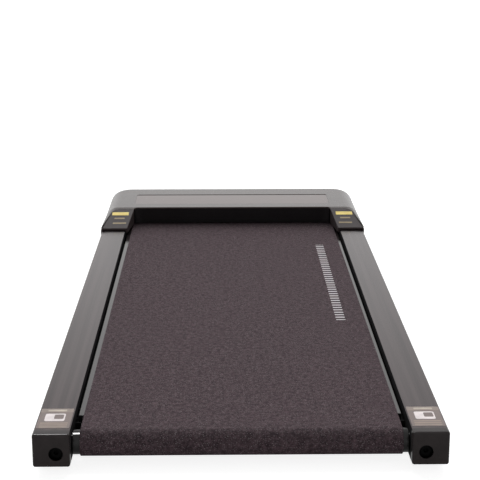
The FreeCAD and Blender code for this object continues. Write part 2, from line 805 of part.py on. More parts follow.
def make_front_cap(side, outer, shell):
    plan = prism("cap_plan_" + side, "XY_Plane", cap_plan(side, "0"), "0", "hood_top + overcut")
    cover = common("cap_cover_" + side, shell, plan)
    wall = [("cap_in_rear", "cap_rear"), ("cap_in_rear + hood_wall", "cap_rear"),
            ("cap_in_front + hood_wall", "cap_front"), ("cap_in_front", "cap_front")]
    wall = [(signed(side, x), y) for x, y in wall]
    upright = prism("cap_wall_" + side, "XY_Plane", wall, "belt_top + bezel_ground", "hood_top + overcut")
    lining = common("cap_lining_" + side, outer, upright)
    low_side = block("cap_foot_" + side, mirrored(side, "cap_in_front - overcut", "rail_in - fit_gap"),
                     ("cap_rear - overcut", "cap_front + overcut"), ("0", "belt_top + bezel_ground"))
    rail_way = block("cap_rail_way_" + side, mirrored(side, "rail_in - fit_gap", "rail_out + fit_gap"),
                     ("cap_rear - overcut", "cap_rear + hood_wall + overcut"), ("0", "rail_top + fit_gap"))
    node("front_cap_" + side, cut("front_cap_" + side, fuse("cap_shell_" + side, cover, lining),
                                  low_side, rail_way))


# Bezel: the dark wall across the front of the belt, with rounded corners into the caps.

def notch_plan(rear_half, half, wall, corner):
    rear = "cap_rear - overcut"
    return [("-" + rear_half, rear), (rear_half, rear), (half, "%s - %s" % (wall, corner), corner, 1),
            ("%s - %s" % (half, corner), wall), ("%s - %s" % (corner, half), wall, corner, 1),
            ("-" + half, "%s - %s" % (wall, corner))]


def make_bezel():
    z = ("belt_top + bezel_ground", "hood_top")
    outer_half = "(cap_in_front + bezel_wall)"
    outer = prism("bezel_outside", "XY_Plane",
                  notch_plan(outer_half, outer_half, "(wall_place + bezel_wall)",
                             "(notch_round + bezel_wall)"), *z)
    inner = prism("bezel_inside", "XY_Plane",
                  notch_plan("cap_in_front", "cap_in_front", "wall_place", "notch_round"), *z)
    behind = block("bezel_behind", ("-half_width", "half_width"),
                   ("cap_rear - 2 * overcut", "cap_front + seam_gap"), ("0", "hood_top + overcut"))
    trim = hood_form("bezel_trim", "(hood_wall + fit_gap)")
    wall = cut("bezel_wall_loop", outer, inner, behind)
    node("hood_bezel", common("hood_bezel", wall, trim))


# Hood cover: one moulded shell, open below, notched for the belt and the front caps, with a
# shallow seat for the display lens, a nose window for the power panel and slots for the wheels.

DIGIT_COUNT = 4
WINDOW_HALF = "digit_pitch * %d / 2 + window_margin" % DIGIT_COUNT
BOSS_HALF = "(%s + board_margin / 2 + boss_radius)" % WINDOW_HALF


def lens_plan(gap):
    half = "(lens_width / 2 + %s)" % gap
    rear = "(lens_rear - %s)" % gap
    front = "(lens_rear + lens_depth + %s)" % gap
    bend = "lens_corner"
    return [("%s - %s" % (bend, half), rear), ("%s - %s" % (half, bend), rear, bend, 1),
            (half, "%s + %s" % (rear, bend)), (half, "%s - %s" % (front, bend), bend, 1),
            ("%s - %s" % (half, bend), front), ("%s - %s" % (bend, half), front, bend, 1),
            ("-" + half, "%s - %s" % (front, bend)), ("-" + half, "%s + %s" % (rear, bend), bend, 1)]


def make_hood():
    outer = hood_form("hood_outside", "0")
    shell = cut("hood_shell", outer, hood_form("hood_inside", "hood_wall"))
    for side in SIDES:
        make_front_cap(side, outer, shell)
    notch = prism("hood_notch", "XY_Plane",
                  notch_plan("cap_in_rear", "cap_in_front", "wall_place", "notch_round"),
                  "0", "hood_top + overcut")
    tools = [notch]
    for side in SIDES:
        tools.append(prism("hood_cap_way_" + side, "XY_Plane", cap_plan(side, "seam_gap"),
                           "0", "hood_top + overcut"))
        tools.append(block("hood_wheel_slot_" + side,
                           mirrored(side, "wheel_place - wheel_width / 2 - wheel_gap",
                                    "wheel_place + wheel_width / 2 + wheel_gap"),
                           ("wheel_front", "half_length + overcut"),
                           ("0", "wheel_high + wheel_radius + wheel_gap")))
    tools.append(prism("hood_lens_seat", "XY_Plane", lens_plan("lens_gap"), "hood_top - lens_thick",
                       "hood_top + overcut"))
    tools.append(block("hood_digit_window", ("-(%s)" % WINDOW_HALF, WINDOW_HALF),
                       centred("lens_mid", "digit_depth / 2 + window_margin"),
                       ("hood_top - hood_wall - overcut", "hood_top")))
    tools.append(block("hood_panel_window", ("panel_start + panel_rim", "panel_end - panel_rim"),
                       ("panel_face", "half_length + overcut"),
                       centred("panel_high", "panel_height / 2 - panel_rim / 2")))
    cover = cut("hood_skin", shell, *tools)
    bosses = [rod("hood_boss_%d" % spot, "z", "boss_radius", board_top(), "hood_top - hood_wall", centre)
              for spot, centre in enumerate(boss_places())]
    node("hood_cover", fuse("hood_cover", cover, *bosses))
    node("display_lens", prism("display_lens", "XY_Plane", lens_plan("0"),
                               "hood_top - lens_thick", "hood_top"))


def board_top():
    return "hood_top - lens_thick - digit_gap - digit_height"


def boss_places():
    return [("%s%s" % (sign, BOSS_HALF), "lens_mid") for sign in ("-", "")]


def make_display():
    half = "(%s + board_margin)" % BOSS_HALF
    node("display_board", block("display_board", ("-" + half, half),
                                centred("lens_mid", "digit_depth / 2 + board_margin"),
                                (board_top() + " - board_thick", board_top())))
    digits = []
    for spot in range(DIGIT_COUNT):
        middle = "digit_pitch * %.1f" % (spot - (DIGIT_COUNT - 1) / 2)
        digits.append(block("digit_%d" % spot, centred(middle, "digit_width / 2"),
                            centred("lens_mid", "digit_depth / 2"),
                            (board_top(), board_top() + " + digit_height")))
    node("display_digits", group("display_digits", digits))


# Motor, drive belt and controller on a base plate welded between the beams.

def grooved_outline(low, high, radius, bore):
    """A pulley from low to high with five grooves round it and a bore."""
    ribs = 5
    pitch = "((%s) - (%s) - 2 * pulley_land) / %d" % (high, low, ribs)
    outline = [(low, bore), (low, radius)]
    for rib in range(ribs):
        start = "(%s) + pulley_land + %d * %s" % (low, rib, pitch)
        outline += [(start, radius), ("%s + %s / 2" % (start, pitch), "%s - groove_depth" % radius)]
    outline += [("(%s) - pulley_land" % high, radius), (high, radius), (high, bore)]
    return outline


def make_drive():
    across = ("front_axle_place", "roller_high")
    rim = turned("drive_pulley_rim", "x", grooved_outline("-pulley_out", "-pulley_in", "drive_pulley_radius",
                                                          "axle_radius + bearing_gap"), across)
    spigot = rod("drive_pulley_spigot", "x", "roller_radius - roller_wall", "-pulley_in",
                 "pulley_spigot - roller_half", across)
    eye = rod("drive_pulley_eye", "x", "axle_radius + bearing_gap", "-pulley_in",
              "pulley_spigot - roller_half", across)
    node("drive_pulley", cut("drive_pulley", fuse("drive_pulley_blank", rim, spigot), eye))
    motor_axis = ("motor_place", "motor_high")
    node("motor_pulley", turned("motor_pulley", "x", grooved_outline(
        "-pulley_out", "-pulley_in", "motor_pulley_radius", "motor_shaft_radius"), motor_axis))
    x = ("drive_belt_inset - pulley_out", "-(pulley_in + drive_belt_inset)")
    outer = prism("drive_belt_outside", "YZ_Plane", drive_loop("drive_belt_gap + drive_belt_thick"), *x)
    inner = prism("drive_belt_inside", "YZ_Plane", drive_loop("drive_belt_gap"), *x)
    node("drive_belt", cut("drive_belt", outer, inner))


def drive_loop(offset):
    """The two pulleys' circles, grown by an offset, joined by their outer tangents."""
    big = "(drive_pulley_radius + %s)" % offset
    small = "(motor_pulley_radius + %s)" % offset

    def on_big(angle):
        return ("front_axle_place + %s * cos(%s)" % (big, angle), "roller_high + %s * sin(%s)" % (big, angle))

    def on_small(angle):
        return ("motor_place + %s * cos(%s)" % (small, angle), "motor_high + %s * sin(%s)" % (small, angle))

    above = "drive_lean + drive_wrap"
    below = "drive_lean - drive_wrap"
    return [on_big(above) + (big, 1), on_big("drive_lean + 180 deg") + (big, 1), on_big(below),
            on_small(below) + (small, 1), on_small("drive_lean") + (small, 1), on_small(above)]


def make_motor():
    axis = ("motor_place", "motor_high")
    can = rod("motor_shell", "x", "motor_radius", "can_left", "can_right", axis)
    inside = rod("motor_inside", "x", "motor_radius - motor_wall", "can_left", "can_right", axis)
    node("motor_can", cut("motor_can", can, inside))
    bells = []
    for name, low, high in (("left", "bell_left", "can_left"), ("right", "can_right", "bell_right")):
        disc = rod("motor_bell_disc_" + name, "x", "motor_radius", low, high, axis)
        eye = rod("motor_bell_eye_" + name, "x", "motor_shaft_radius + bearing_gap", low, high, axis)
        bells.append(cut("motor_bell_" + name, disc, eye))
    node("motor_end_bells", group("motor_end_bells", bells))
    node("motor_shaft", rod("motor_shaft", "x", "motor_shaft_radius", "-pulley_out - motor_shaft_end",
                            "shaft_right", axis))
    bore = "motor_shaft_radius"
    rotor_radius = "motor_radius - motor_wall - rotor_gap"
    rotor = [("can_left + rotor_end_gap", bore), ("can_left + rotor_end_gap", rotor_radius),
             ("can_right - rotor_end_gap", rotor_radius), ("can_right - rotor_end_gap", bore)]
    node("motor_rotor_core", turned("motor_rotor_core", "x", rotor, axis))
    hub = "motor_shaft_radius + fan_hub"
    rim = "fan_radius - fan_rim"
    web = "fan_left + fan_width / 2 - fan_web / 2"
    fan_end = "fan_left + fan_width"
    fan = [("fan_left", bore), ("fan_left", hub), (web, hub), (web, rim), ("fan_left", rim),
           ("fan_left", "fan_radius"), (fan_end, "fan_radius"), (fan_end, rim), (web + " + fan_web", rim),
           (web + " + fan_web", hub), (fan_end, hub), (fan_end, bore)]
    node("motor_fan", turned("motor_fan", "x", fan, axis))
    seat = rod("cradle_seat", "x", "motor_radius + motor_seat_gap", "can_left", "can_right", axis)
    blank = block("cradle_block", ("can_left + cradle_inset", "can_right - cradle_inset"),
                  ("motor_place - cradle_depth / 2", "motor_place + cradle_depth / 2"),
                  ("base_top", "base_top + cradle_height"))
    node("motor_cradle", cut("motor_cradle", blank, seat))
    middle = "(can_left + can_right) / 2"
    make_strap((middle + " - strap_width / 2", middle + " + strap_width / 2"), middle, axis)


def make_strap(x, middle, axis):
    inner = "(motor_radius + motor_seat_gap)"
    outer = "(motor_radius + motor_seat_gap + strap_thick)"
    foot_top = "base_top + strap_thick"
    hoop = [("motor_place - %s - strap_foot" % outer, "base_top"), ("motor_place - %s" % inner, "base_top"),
            ("motor_place - %s" % inner, "motor_high", inner, -1),
            ("motor_place", "motor_high + %s" % inner, inner, -1),
            ("motor_place + %s" % inner, "motor_high"), ("motor_place + %s" % inner, "base_top"),
            ("motor_place + %s + strap_foot" % outer, "base_top"),
            ("motor_place + %s + strap_foot" % outer, foot_top), ("motor_place + %s" % outer, foot_top),
            ("motor_place + %s" % outer, "motor_high", outer, 1),
            ("motor_place", "motor_high + %s" % outer, outer, 1),
            ("motor_place - %s" % outer, "motor_high"), ("motor_place - %s" % outer, foot_top),
            ("motor_place - %s - strap_foot" % outer, foot_top)]
    band = prism("strap_band", "YZ_Plane", hoop, *x)
    holes = []
    screws = []
    for sign in ("-", "+"):
        centre = (middle, "motor_place %s (%s + strap_foot / 2)" % (sign, outer))
        tag = "rear" if sign == "-" else "front"
        holes.append(rod("strap_hole_" + tag, "z", "screw_radius + screw_gap", "base_top", foot_top, centre))
        screws.append(screw("strap_screw_" + tag, "z", foot_top, foot_top + " + screw_head_height",
                            "foot_height", centre))
    node("motor_strap", cut("motor_strap", band, *holes))
    node("motor_screws", group("motor_screws", screws))
    make_base_plate([(middle, "motor_place %s (%s + strap_foot / 2)" % (sign, outer)) for sign in ("-", "+")])


PAN_SCREWS = [("%s(pan_half - pan_screw_inset)" % sign, place) for sign in ("-", "")
              for place in ("base_rear + pan_screw_edge", "base_front - pan_screw_edge")]


def make_base_plate(strap_places):
    plate = block("base_slab", ("-beam_in", "beam_in"), ("base_rear", "base_front"),
                  ("foot_height", "base_top"))
    holes = [rod("base_hole_%d" % spot, "z", "screw_radius + screw_gap", "foot_height", "base_top", centre)
             for spot, centre in enumerate(strap_places + PAN_SCREWS)]
    node("base_plate", cut("base_plate", plate, *holes))


FIN_COUNT = 8


def make_controller():
    x = ("controller_start", "controller_start + controller_width")
    y = ("base_rear + controller_edge", "base_front - cheek_seat - controller_edge")
    z = ("base_top", "base_top + controller_height")
    wall = "controller_wall"
    shell = block("controller_box", x, y, z)
    hollow = block("controller_hollow", ("%s + %s" % (x[0], wall), "%s - %s" % (x[1], wall)),
                   ("%s + %s" % (y[0], wall), "%s - %s" % (y[1], wall)), ("%s + %s" % (z[0], wall), z[1]))
    node("controller_case", cut("controller_case", shell, hollow))
    lid = block("controller_lid_plate", x, y, (z[1], "%s + %s" % (z[1], wall)))
    fins = []
    for fin in range(FIN_COUNT):
        start = "%s + (%d + 0.5) * controller_width / %d - fin_thick / 2" % (x[0], fin, FIN_COUNT)
        fins.append(block("controller_fin_%d" % fin, (start, start + " + fin_thick"), y,
                          ("%s + %s" % (z[1], wall), "%s + %s + fin_height" % (z[1], wall))))
    node("controller_lid", fuse("controller_lid", lid, *fins))


# Belly pan under the nose, rubber feet, transport wheels.

def pan_plan(inset, rear):
    """The pan's outline drawn in by an inset, with rounded front corners."""
    half = "(pan_half - %s)" % inset
    front = "(pan_front - %s)" % inset
    bend = "(pan_corner - %s)" % inset
    return [("-" + half, rear), (half, rear), (half, "%s - %s" % (front, bend), bend, 1),
            ("%s - %s" % (half, bend), front), ("%s - %s" % (bend, half), front, bend, 1),
            ("-" + half, "%s - %s" % (front, bend))]


def make_pan():
    tray = prism("pan_tray", "XY_Plane", pan_plan("0", "pan_rear"), "pan_low", "foot_height")
    hollow = prism("pan_hollow", "XY_Plane", pan_plan("pan_wall", "pan_rear - overcut"), "pan_top",
                   "foot_height")
    wheel_ways = [block("pan_wheel_way_" + side,
                        mirrored(side, "wheel_place - wheel_width / 2 - wheel_gap",
                                 "wheel_place + wheel_width / 2 + wheel_gap"),
                        ("base_front", "pan_front + overcut"), ("0", "foot_height + overcut"))
                  for side in SIDES]
    open_tray = cut("pan_open_tray", tray, hollow, *wheel_ways)
    posts = []
    holes = []
    screws = []
    for spot, centre in enumerate(PAN_SCREWS):
        posts.append(rod("pan_post_%d" % spot, "z", "screw_head_radius", "pan_low", "foot_height", centre))
        holes.append(rod("pan_hole_%d" % spot, "z", "screw_radius + screw_gap", "pan_low", "foot_height",
                         centre))
        seat = "pan_low + pan_head_height"
        tip = "base_top + screw_end"
        holes.append(rod("pan_recess_%d" % spot, "z", "pan_head_radius + screw_gap", "pan_low", seat, centre))
        screws.append(turned("pan_screw_%d" % spot, "z", [
            ("pan_low", "0"), ("pan_low", "pan_head_radius"), (seat, "pan_head_radius"),
            (seat, "screw_radius"), (tip, "screw_radius"), (tip, "0")], centre))
    node("belly_pan", cut("belly_pan", fuse("pan_moulding", open_tray, *posts), *holes))
    node("pan_screws", group("pan_screws", screws))


def make_feet():
    feet = []
    screws = []
    for side in SIDES:
        for name, place in FOOT_PLACES.items():
            tag = "%s_%s" % (name, side)
            centre = (signed(side, "beam_mid"), place)
            straight = "(foot_length - foot_width) / 2"
            pad = block("foot_pad_" + tag, centred(centre[0], "foot_width / 2"), centred(place, straight),
                        ("0", "foot_height"))
            ends = [rod("foot_end_%s_%d" % (tag, spot), "z", "foot_width / 2", "0", "foot_height",
                        (centre[0], "%s %s %s" % (place, sign, straight))) for spot, sign in enumerate("-+")]
            recess = rod("foot_recess_" + tag, "z", "screw_head_radius + foot_recess_gap", "0",
                         "foot_recess", centre)
            hole = rod("foot_hole_" + tag, "z", "screw_radius + screw_gap", "foot_recess", "foot_height",
                       centre)
            feet.append(cut("foot_" + tag, fuse("foot_block_" + tag, pad, *ends), recess, hole))
            screws.append(screw("foot_screw_" + tag, "z", "foot_recess", "foot_recess - screw_head_height",
                                "foot_height + beam_wall + screw_end", centre))
    node("rubber_feet", group("rubber_feet", feet))
    node("foot_screws", group("foot_screws", screws))


def make_wheels():
    brackets = []
    axles = []
    axis = ("wheel_front", "wheel_high")
    for side in SIDES:
        inner = "wheel_place - wheel_width / 2"
        outer = "wheel_place + wheel_width / 2"
        bore = "wheel_axle_radius + bearing_gap"
        tread = "wheel_radius"
        shoulder = "wheel_radius - tyre_chamfer"
        seat = "wheel_radius - tyre_thick"
        groove = "wheel_radius - tyre_thick - wheel_groove"
        inner_step = inner + " + tyre_chamfer"
        outer_step = outer + " - tyre_chamfer"
        profile = [(inner, bore), (inner, groove), (inner_step, groove), (inner_step, seat), (inner, seat),
                   (inner, shoulder), (inner_step, tread), (outer_step, tread), (outer, shoulder),
                   (outer, seat), (outer_step, seat), (outer_step, groove), (outer, groove), (outer, bore)]
        profile = [(signed(side, x), radius) for x, radius in profile]
        node("transport_wheel_" + side, turned("transport_wheel_" + side, "x", profile, axis))
        axles.append(rod("wheel_axle_" + side, "x", "wheel_axle_radius",
                         *mirrored(side, "cheek_in", outer + " + cheek_gap + wheel_cheek"), axis))
        for tag, low in (("inner", "cheek_in"), ("outer", outer + " + cheek_gap")):
            x = mirrored(side, low, low + " + wheel_cheek")
            plate = block("wheel_cheek_%s_%s" % (side, tag), x,
                          ("base_front - cheek_seat", "wheel_front + cheek_edge"),
                          ("base_top", "wheel_high + cheek_edge"))
            eye = rod("wheel_eye_%s_%s" % (side, tag), "x", "wheel_axle_radius", *x, axis)
            brackets.append(cut("wheel_ear_%s_%s" % (side, tag), plate, eye))
    node("wheel_brackets", group("wheel_brackets", brackets))
    node("wheel_axles", group("wheel_axles", axles))


# Power panel set back in the nose, with the mains inlet, rocker switch and breaker.

def make_power_entry():
    z = ("panel_high - panel_height / 2", "panel_high + panel_height / 2")
    rim_front = "half_length - hood_wall - fit_gap"
    tray = block("panel_tray", ("panel_start", "panel_end"), ("panel_face - panel_wall", rim_front), z)
    recess = block("panel_recess", ("panel_start + panel_rim", "panel_end - panel_rim"),
                   ("panel_face", rim_front), (z[0] + " + panel_rim / 2", z[1] + " - panel_rim / 2"))
    ways = [block("panel_inlet_way", centred("inlet_place", "inlet_width / 2 + screw_gap"),
                  ("panel_face - panel_wall", "panel_face"),
                  centred("panel_high", "inlet_height / 2 + screw_gap")),
            block("panel_switch_way",
                  centred("switch_place", "rocker_width / 2 + rocker_gap + switch_wall + screw_gap"),
                  ("panel_face - panel_wall", "panel_face"),
                  centred("panel_high", "rocker_radius + rocker_gap + switch_wall + screw_gap")),
            rod("panel_breaker_way", "y", "breaker_bush + screw_gap", "panel_face - panel_wall", "panel_face",
                ("breaker_place", "panel_high"))]
    node("power_panel", cut("power_panel", tray, recess, *ways))
    make_inlet()
    make_switch()
    make_breaker()


def make_inlet():
    mouth = "panel_face + flange_thick"
    flange = block("inlet_rim", centred("inlet_place", "inlet_width / 2 + inlet_flange"),
                   ("panel_face", mouth), centred("panel_high", "inlet_height / 2 + inlet_flange"))
    body = block("inlet_body", centred("inlet_place", "inlet_width / 2"),
                 ("panel_face - inlet_depth", "panel_face"), centred("panel_high", "inlet_height / 2"))
    socket = block("inlet_socket", centred("inlet_place", "inlet_width / 2 - inlet_wall"),
                   ("panel_face - inlet_depth + inlet_wall", mouth),
                   centred("panel_high", "inlet_height / 2 - inlet_wall"))
    shell = cut("inlet_shell", fuse("inlet_moulding", flange, body), socket)
    floor = "panel_face - inlet_depth + inlet_wall"
    pins = [block("inlet_pin_%d" % spot, centred(middle, "pin_thick / 2"), (floor, floor + " + pin_length"),
                  centred(high, "pin_width / 2"))
            for spot, (middle, high) in enumerate((("inlet_place - pin_pitch", "panel_high - pin_offset"),
                                                   ("inlet_place", "panel_high + pin_offset"),
                                                   ("inlet_place + pin_pitch", "panel_high - pin_offset")))]
    node("power_inlet", group("power_inlet", [shell] + pins))


def make_switch():
    inside = "rocker_width / 2 + rocker_gap"
    inside_high = "rocker_radius + rocker_gap"
    face = "panel_face + flange_thick"
    back = "rocker_place - rocker_radius - rocker_gap - switch_wall"
    rim = block("switch_rim", centred("switch_place", inside + " + switch_wall + switch_flange"),
                ("panel_face", face), centred("panel_high", inside_high + " + switch_wall + switch_flange"))
    body = block("switch_body", centred("switch_place", inside + " + switch_wall"), (back, "panel_face"),
                 centred("panel_high", inside_high + " + switch_wall"))
    hollow = block("switch_hollow", centred("switch_place", inside), (back + " + switch_wall", face),
                   centred("panel_high", inside_high))
    pivot = rod("switch_pivot_hole", "x", "rocker_pivot + bearing_gap",
                *centred("switch_place", inside + " + switch_wall - pivot_skin"),
                ("rocker_place", "panel_high"))
    node("switch_housing", cut("switch_housing", fuse("switch_moulding", rim, body), hollow, pivot))
    pins = rod("rocker_pins", "x", "rocker_pivot",
               *centred("switch_place", inside + " + switch_wall - pivot_skin - pivot_end_gap"),
               ("rocker_place", "panel_high"))
    node("power_rocker", fuse("power_rocker", make_paddle(), pins))


def make_paddle():
    """A drum about the pivot whose front is a shallow valley, tilted to its off position."""
    def on_drum(angle):
        return ("rocker_radius * cos(%s)" % angle, "rocker_radius * sin(%s)" % angle, "rocker_radius", 1)

    spread = "rocker_spread * 1 deg"
    outline = [on_drum(spread), on_drum("120 deg"), on_drum("180 deg"), on_drum("240 deg"),
               on_drum("-" + spread)[:2], ("rocker_valley", "0")]
    paddle = prism("rocker_paddle", "YZ_Plane", outline, *centred("switch_place", "rocker_width / 2"))
    paddle.Placement.Rotation = Rotation(Vector(1, 0, 0), number("rocker_tilt"))
    bind(paddle, "Placement.Rotation.Angle", "rocker_tilt * 1 deg")
    bind(paddle, "Placement.Base.y", "rocker_place")
    bind(paddle, "Placement.Base.z", "panel_high")
    return paddle


def make_breaker():
    centre = ("breaker_place", "panel_high")
    back = "panel_face - panel_wall"
    nut = rod("breaker_nut_ring", "y", "breaker_nut", "panel_face", "panel_face + flange_thick", centre)
    bush = rod("breaker_neck", "y", "breaker_bush", back, "panel_face", centre)
    body = block("breaker_box", centred("breaker_place", "breaker_width / 2"),
                 (back + " - breaker_depth", back), centred("panel_high", "breaker_height / 2"))
    inner = "panel_face - button_depth"
    bore = rod("breaker_bore", "y", "button_radius + bearing_gap", inner + " - button_travel",
               "panel_face + flange_thick", centre)
    node("breaker_body", cut("breaker_body", fuse("breaker_moulding", nut, bush, body), bore))
    node("breaker_button", rod("breaker_button", "y", "button_radius", inner,
                               "panel_face + flange_thick + button_reach", centre))


# The whole pad.

def make_all():
    make_deck()
    make_walking_belt()
    make_roller("front_roller", "front_axle_place")
    make_roller("rear_roller", "rear_axle_place")
    make_axles()
    for side in SIDES:
        make_beam(side)
        make_tension_bracket(side)
        make_tension_bolt(side)
        make_rail(side)
    node("rear_cap_screws", group("rear_cap_screws", [make_rear_cap(side) for side in SIDES]))
    make_hood()
    make_bezel()
    make_display()
    make_drive()
    make_motor()
    make_controller()
    make_pan()
    make_feet()
    make_wheels()
    make_power_entry()


def check_and_export():
    doc.recompute()
    failed = [item.Label for item in doc.Objects if {"Invalid", "Error"} & set(item.State)]
    if failed:
        raise RuntimeError("not built: " + ", ".join(failed))
    for item in nodes:
        if item.Shape.isNull() or not item.Shape.isValid():
            raise RuntimeError("bad shape: " + item.Label)
    os.makedirs("parts", exist_ok=True)
    for item in nodes:
        item.Shape.exportStep("parts/%s.step" % item.Label)


make_all()
check_and_export()
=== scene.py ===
import bmesh
import bpy
import json
import math
from mathutils import Matrix, Vector
from mathutils.bvhtree import BVHTree


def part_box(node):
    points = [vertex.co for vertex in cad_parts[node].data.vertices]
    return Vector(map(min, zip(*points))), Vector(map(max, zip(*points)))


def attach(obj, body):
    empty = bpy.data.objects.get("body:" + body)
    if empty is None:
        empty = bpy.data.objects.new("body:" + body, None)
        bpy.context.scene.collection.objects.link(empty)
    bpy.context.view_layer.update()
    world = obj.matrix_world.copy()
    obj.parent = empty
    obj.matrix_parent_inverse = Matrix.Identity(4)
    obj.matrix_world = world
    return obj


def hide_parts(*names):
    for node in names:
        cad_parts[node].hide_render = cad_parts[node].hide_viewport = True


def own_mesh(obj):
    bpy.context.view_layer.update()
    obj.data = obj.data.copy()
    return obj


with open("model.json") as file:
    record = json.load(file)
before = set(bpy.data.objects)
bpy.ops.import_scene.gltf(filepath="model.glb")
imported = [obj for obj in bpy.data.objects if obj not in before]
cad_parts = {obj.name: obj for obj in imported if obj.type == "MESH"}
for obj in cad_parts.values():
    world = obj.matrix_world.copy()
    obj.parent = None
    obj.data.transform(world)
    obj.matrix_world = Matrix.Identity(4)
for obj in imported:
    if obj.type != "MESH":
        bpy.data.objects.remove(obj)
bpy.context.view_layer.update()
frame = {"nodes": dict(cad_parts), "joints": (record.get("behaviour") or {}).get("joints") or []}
nodes = frame["nodes"]


# Steel frame: two box-section side beams, three channel cross beams and the base plate of the
# motor, with the axle brackets and the wheels' ears welded on, and the motor's strap. It is powder
# coated black, which leaves a fine orange-peel skin. The black is made darker and duller than the
# coat as painted shade, so that the parts seen down the slots beside the deck look shaded.

def new_finish(name):
    """An empty node finish: the material, its tree and its surface shader."""
    finish = bpy.data.materials.new(name)
    finish.use_nodes = True
    return finish, finish.node_tree, finish.node_tree.nodes["Principled BSDF"]


def noise(tree, scale, detail=3.0, draw_out=(1.0, 1.0, 1.0)):
    """Noise on the piece's own coordinates. A small share in draw_out lengthens it that way."""
    place = tree.nodes.new("ShaderNodeTexCoord")
    mapping = tree.nodes.new("ShaderNodeMapping")
    mapping.inputs["Scale"].default_value = draw_out
    texture = tree.nodes.new("ShaderNodeTexNoise")
    texture.inputs["Scale"].default_value = scale
    texture.inputs["Detail"].default_value = detail
    tree.links.new(place.outputs["Object"], mapping.inputs["Vector"])
    tree.links.new(mapping.outputs["Vector"], texture.inputs["Vector"])
    return texture.outputs[0]


def shaded(tree, source, low, high, start=0.35, end=0.65):
    """A colour that runs from low to high while the source runs from start to end."""
    ramp = tree.nodes.new("ShaderNodeValToRGB")
    first, last = ramp.color_ramp.elements
    first.position = start
    last.position = end
    first.color = (*low, 1.0)
    last.color = (*high, 1.0)
    tree.links.new(source, ramp.inputs["Fac"])
    return ramp.outputs["Color"]


def ranged(tree, source, low, high, start=0.3, end=0.7):
    """A number that runs from low to high while the source runs from start to end."""
    node = tree.nodes.new("ShaderNodeMapRange")
    for socket, value in (("From Min", start), ("From Max", end), ("To Min", low), ("To Max", high)):
        node.inputs[socket].default_value = value
    tree.links.new(source, node.inputs["Value"])
    return node.outputs["Result"]


def relief(tree, shader, source, depth):
    """Press the source into the surface as a relief of that depth."""
    bump = tree.nodes.new("ShaderNodeBump")
    bump.inputs["Distance"].default_value = depth
    tree.links.new(source, bump.inputs["Height"])
    tree.links.new(bump.outputs["Normal"], shader.inputs["Normal"])


def grained(name, colour, uneven, rough, grain, depth, gloss=0.5, metal=0.0):
    """A coated, moulded or cast skin: cloudy colour, uneven gloss and a fine grain."""
    grains_in_a_cloud = 15
    finish, tree, shader = new_finish(name)
    clouds = noise(tree, grain / grains_in_a_cloud)
    low = [channel * (1 - uneven) for channel in colour]
    high = [channel * (1 + uneven) for channel in colour]
    tree.links.new(shaded(tree, clouds, low, high), shader.inputs["Base Color"])
    tree.links.new(ranged(tree, clouds, *rough), shader.inputs["Roughness"])
    shader.inputs["Specular IOR Level"].default_value = gloss
    shader.inputs["Metallic"].default_value = metal
    relief(tree, shader, noise(tree, grain), depth)
    return finish


def dress(finish, *names):
    """Give CAD nodes that keep their shape a finish."""
    for name in names:
        for place in nodes[name].material_slots:
            place.material = finish


# Painted shade: this black is darker than the powder coat, for the slots beside the deck.
powder_black_and_slot_shade = (0.006, 0.006, 0.0063)
frame_steel = grained("frame_steel", powder_black_and_slot_shade, uneven=0.25, rough=(0.6, 0.75),
                      grain=700, depth=0.00006, gloss=0.06)
dress(frame_steel, "side_beam_left", "side_beam_right", "cross_beam_rear", "cross_beam_middle",
      "cross_beam_front", "base_plate", "tension_bracket_left", "tension_bracket_right", "wheel_brackets",
      "motor_strap")


# Screws: zinc-plated, under the deck, the feet, the belly pan, the motor strap and the rear caps.
# They are bought parts and differ only in length.

zinc = (0.42, 0.42, 0.43)
screw_steel = grained("screw_steel", zinc, uneven=0.15, rough=(0.28, 0.42),
                      grain=1500, depth=0.00002, metal=1.0)
dress(screw_steel, "deck_screws", "foot_screws", "pan_screws", "motor_screws", "rear_cap_screws")


# Deck: a 12 mm fibreboard panel faced with a waxed dark film, on rubber cushions over the cross
# beams. Its side faces are near black as painted shade, which keeps the slots beside it and its
# rear end dark. Only a narrow strip shows along each edge of the walking belt.

same_spot = 1e-6


def merged(name):
    """A merged copy of a CAD node's mesh, with its flat triangles joined into faces."""
    flat_within = math.radians(0.4)
    shape = bmesh.new()
    shape.from_mesh(nodes[name].data)
    bmesh.ops.remove_doubles(shape, verts=shape.verts, dist=same_spot)
    bmesh.ops.dissolve_limit(shape, angle_limit=flat_within, verts=shape.verts, edges=shape.edges)
    return shape


def piece(name, shape, finishes, body, slot, *stands_for, crease=30):
    """Make a bmesh a piece that rides on a body, and stands for CAD nodes where any are given."""
    mesh = bpy.data.meshes.new(name)
    shape.to_mesh(mesh)
    shape.free()
    if "custom_normal" in mesh.attributes:
        mesh.attributes.remove(mesh.attributes["custom_normal"])
    for finish in finishes:
        mesh.materials.append(finish)
    mesh.shade_smooth()
    mesh.set_sharp_from_angle(angle=math.radians(crease))
    made = bpy.data.objects.new(name, mesh)
    bpy.context.scene.collection.objects.link(made)
    flat_faces = made.modifiers.new("flat_faces", "WEIGHTED_NORMAL")
    flat_faces.keep_sharp = True
    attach(made, body)
    if stands_for:
        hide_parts(*stands_for)
    return made


def ease(made, width, segments=2, angle=40):
    """Take the sharpness off a piece's edges, as its mould or press does."""
    bevel = made.modifiers.new("eased_edges", "BEVEL")
    bevel.width = width
    bevel.segments = segments
    bevel.limit_method = "ANGLE"
    bevel.angle_limit = math.radians(angle)
    bevel.use_clamp_overlap = False
    made.modifiers.move(len(made.modifiers) - 1, 0)
    return made


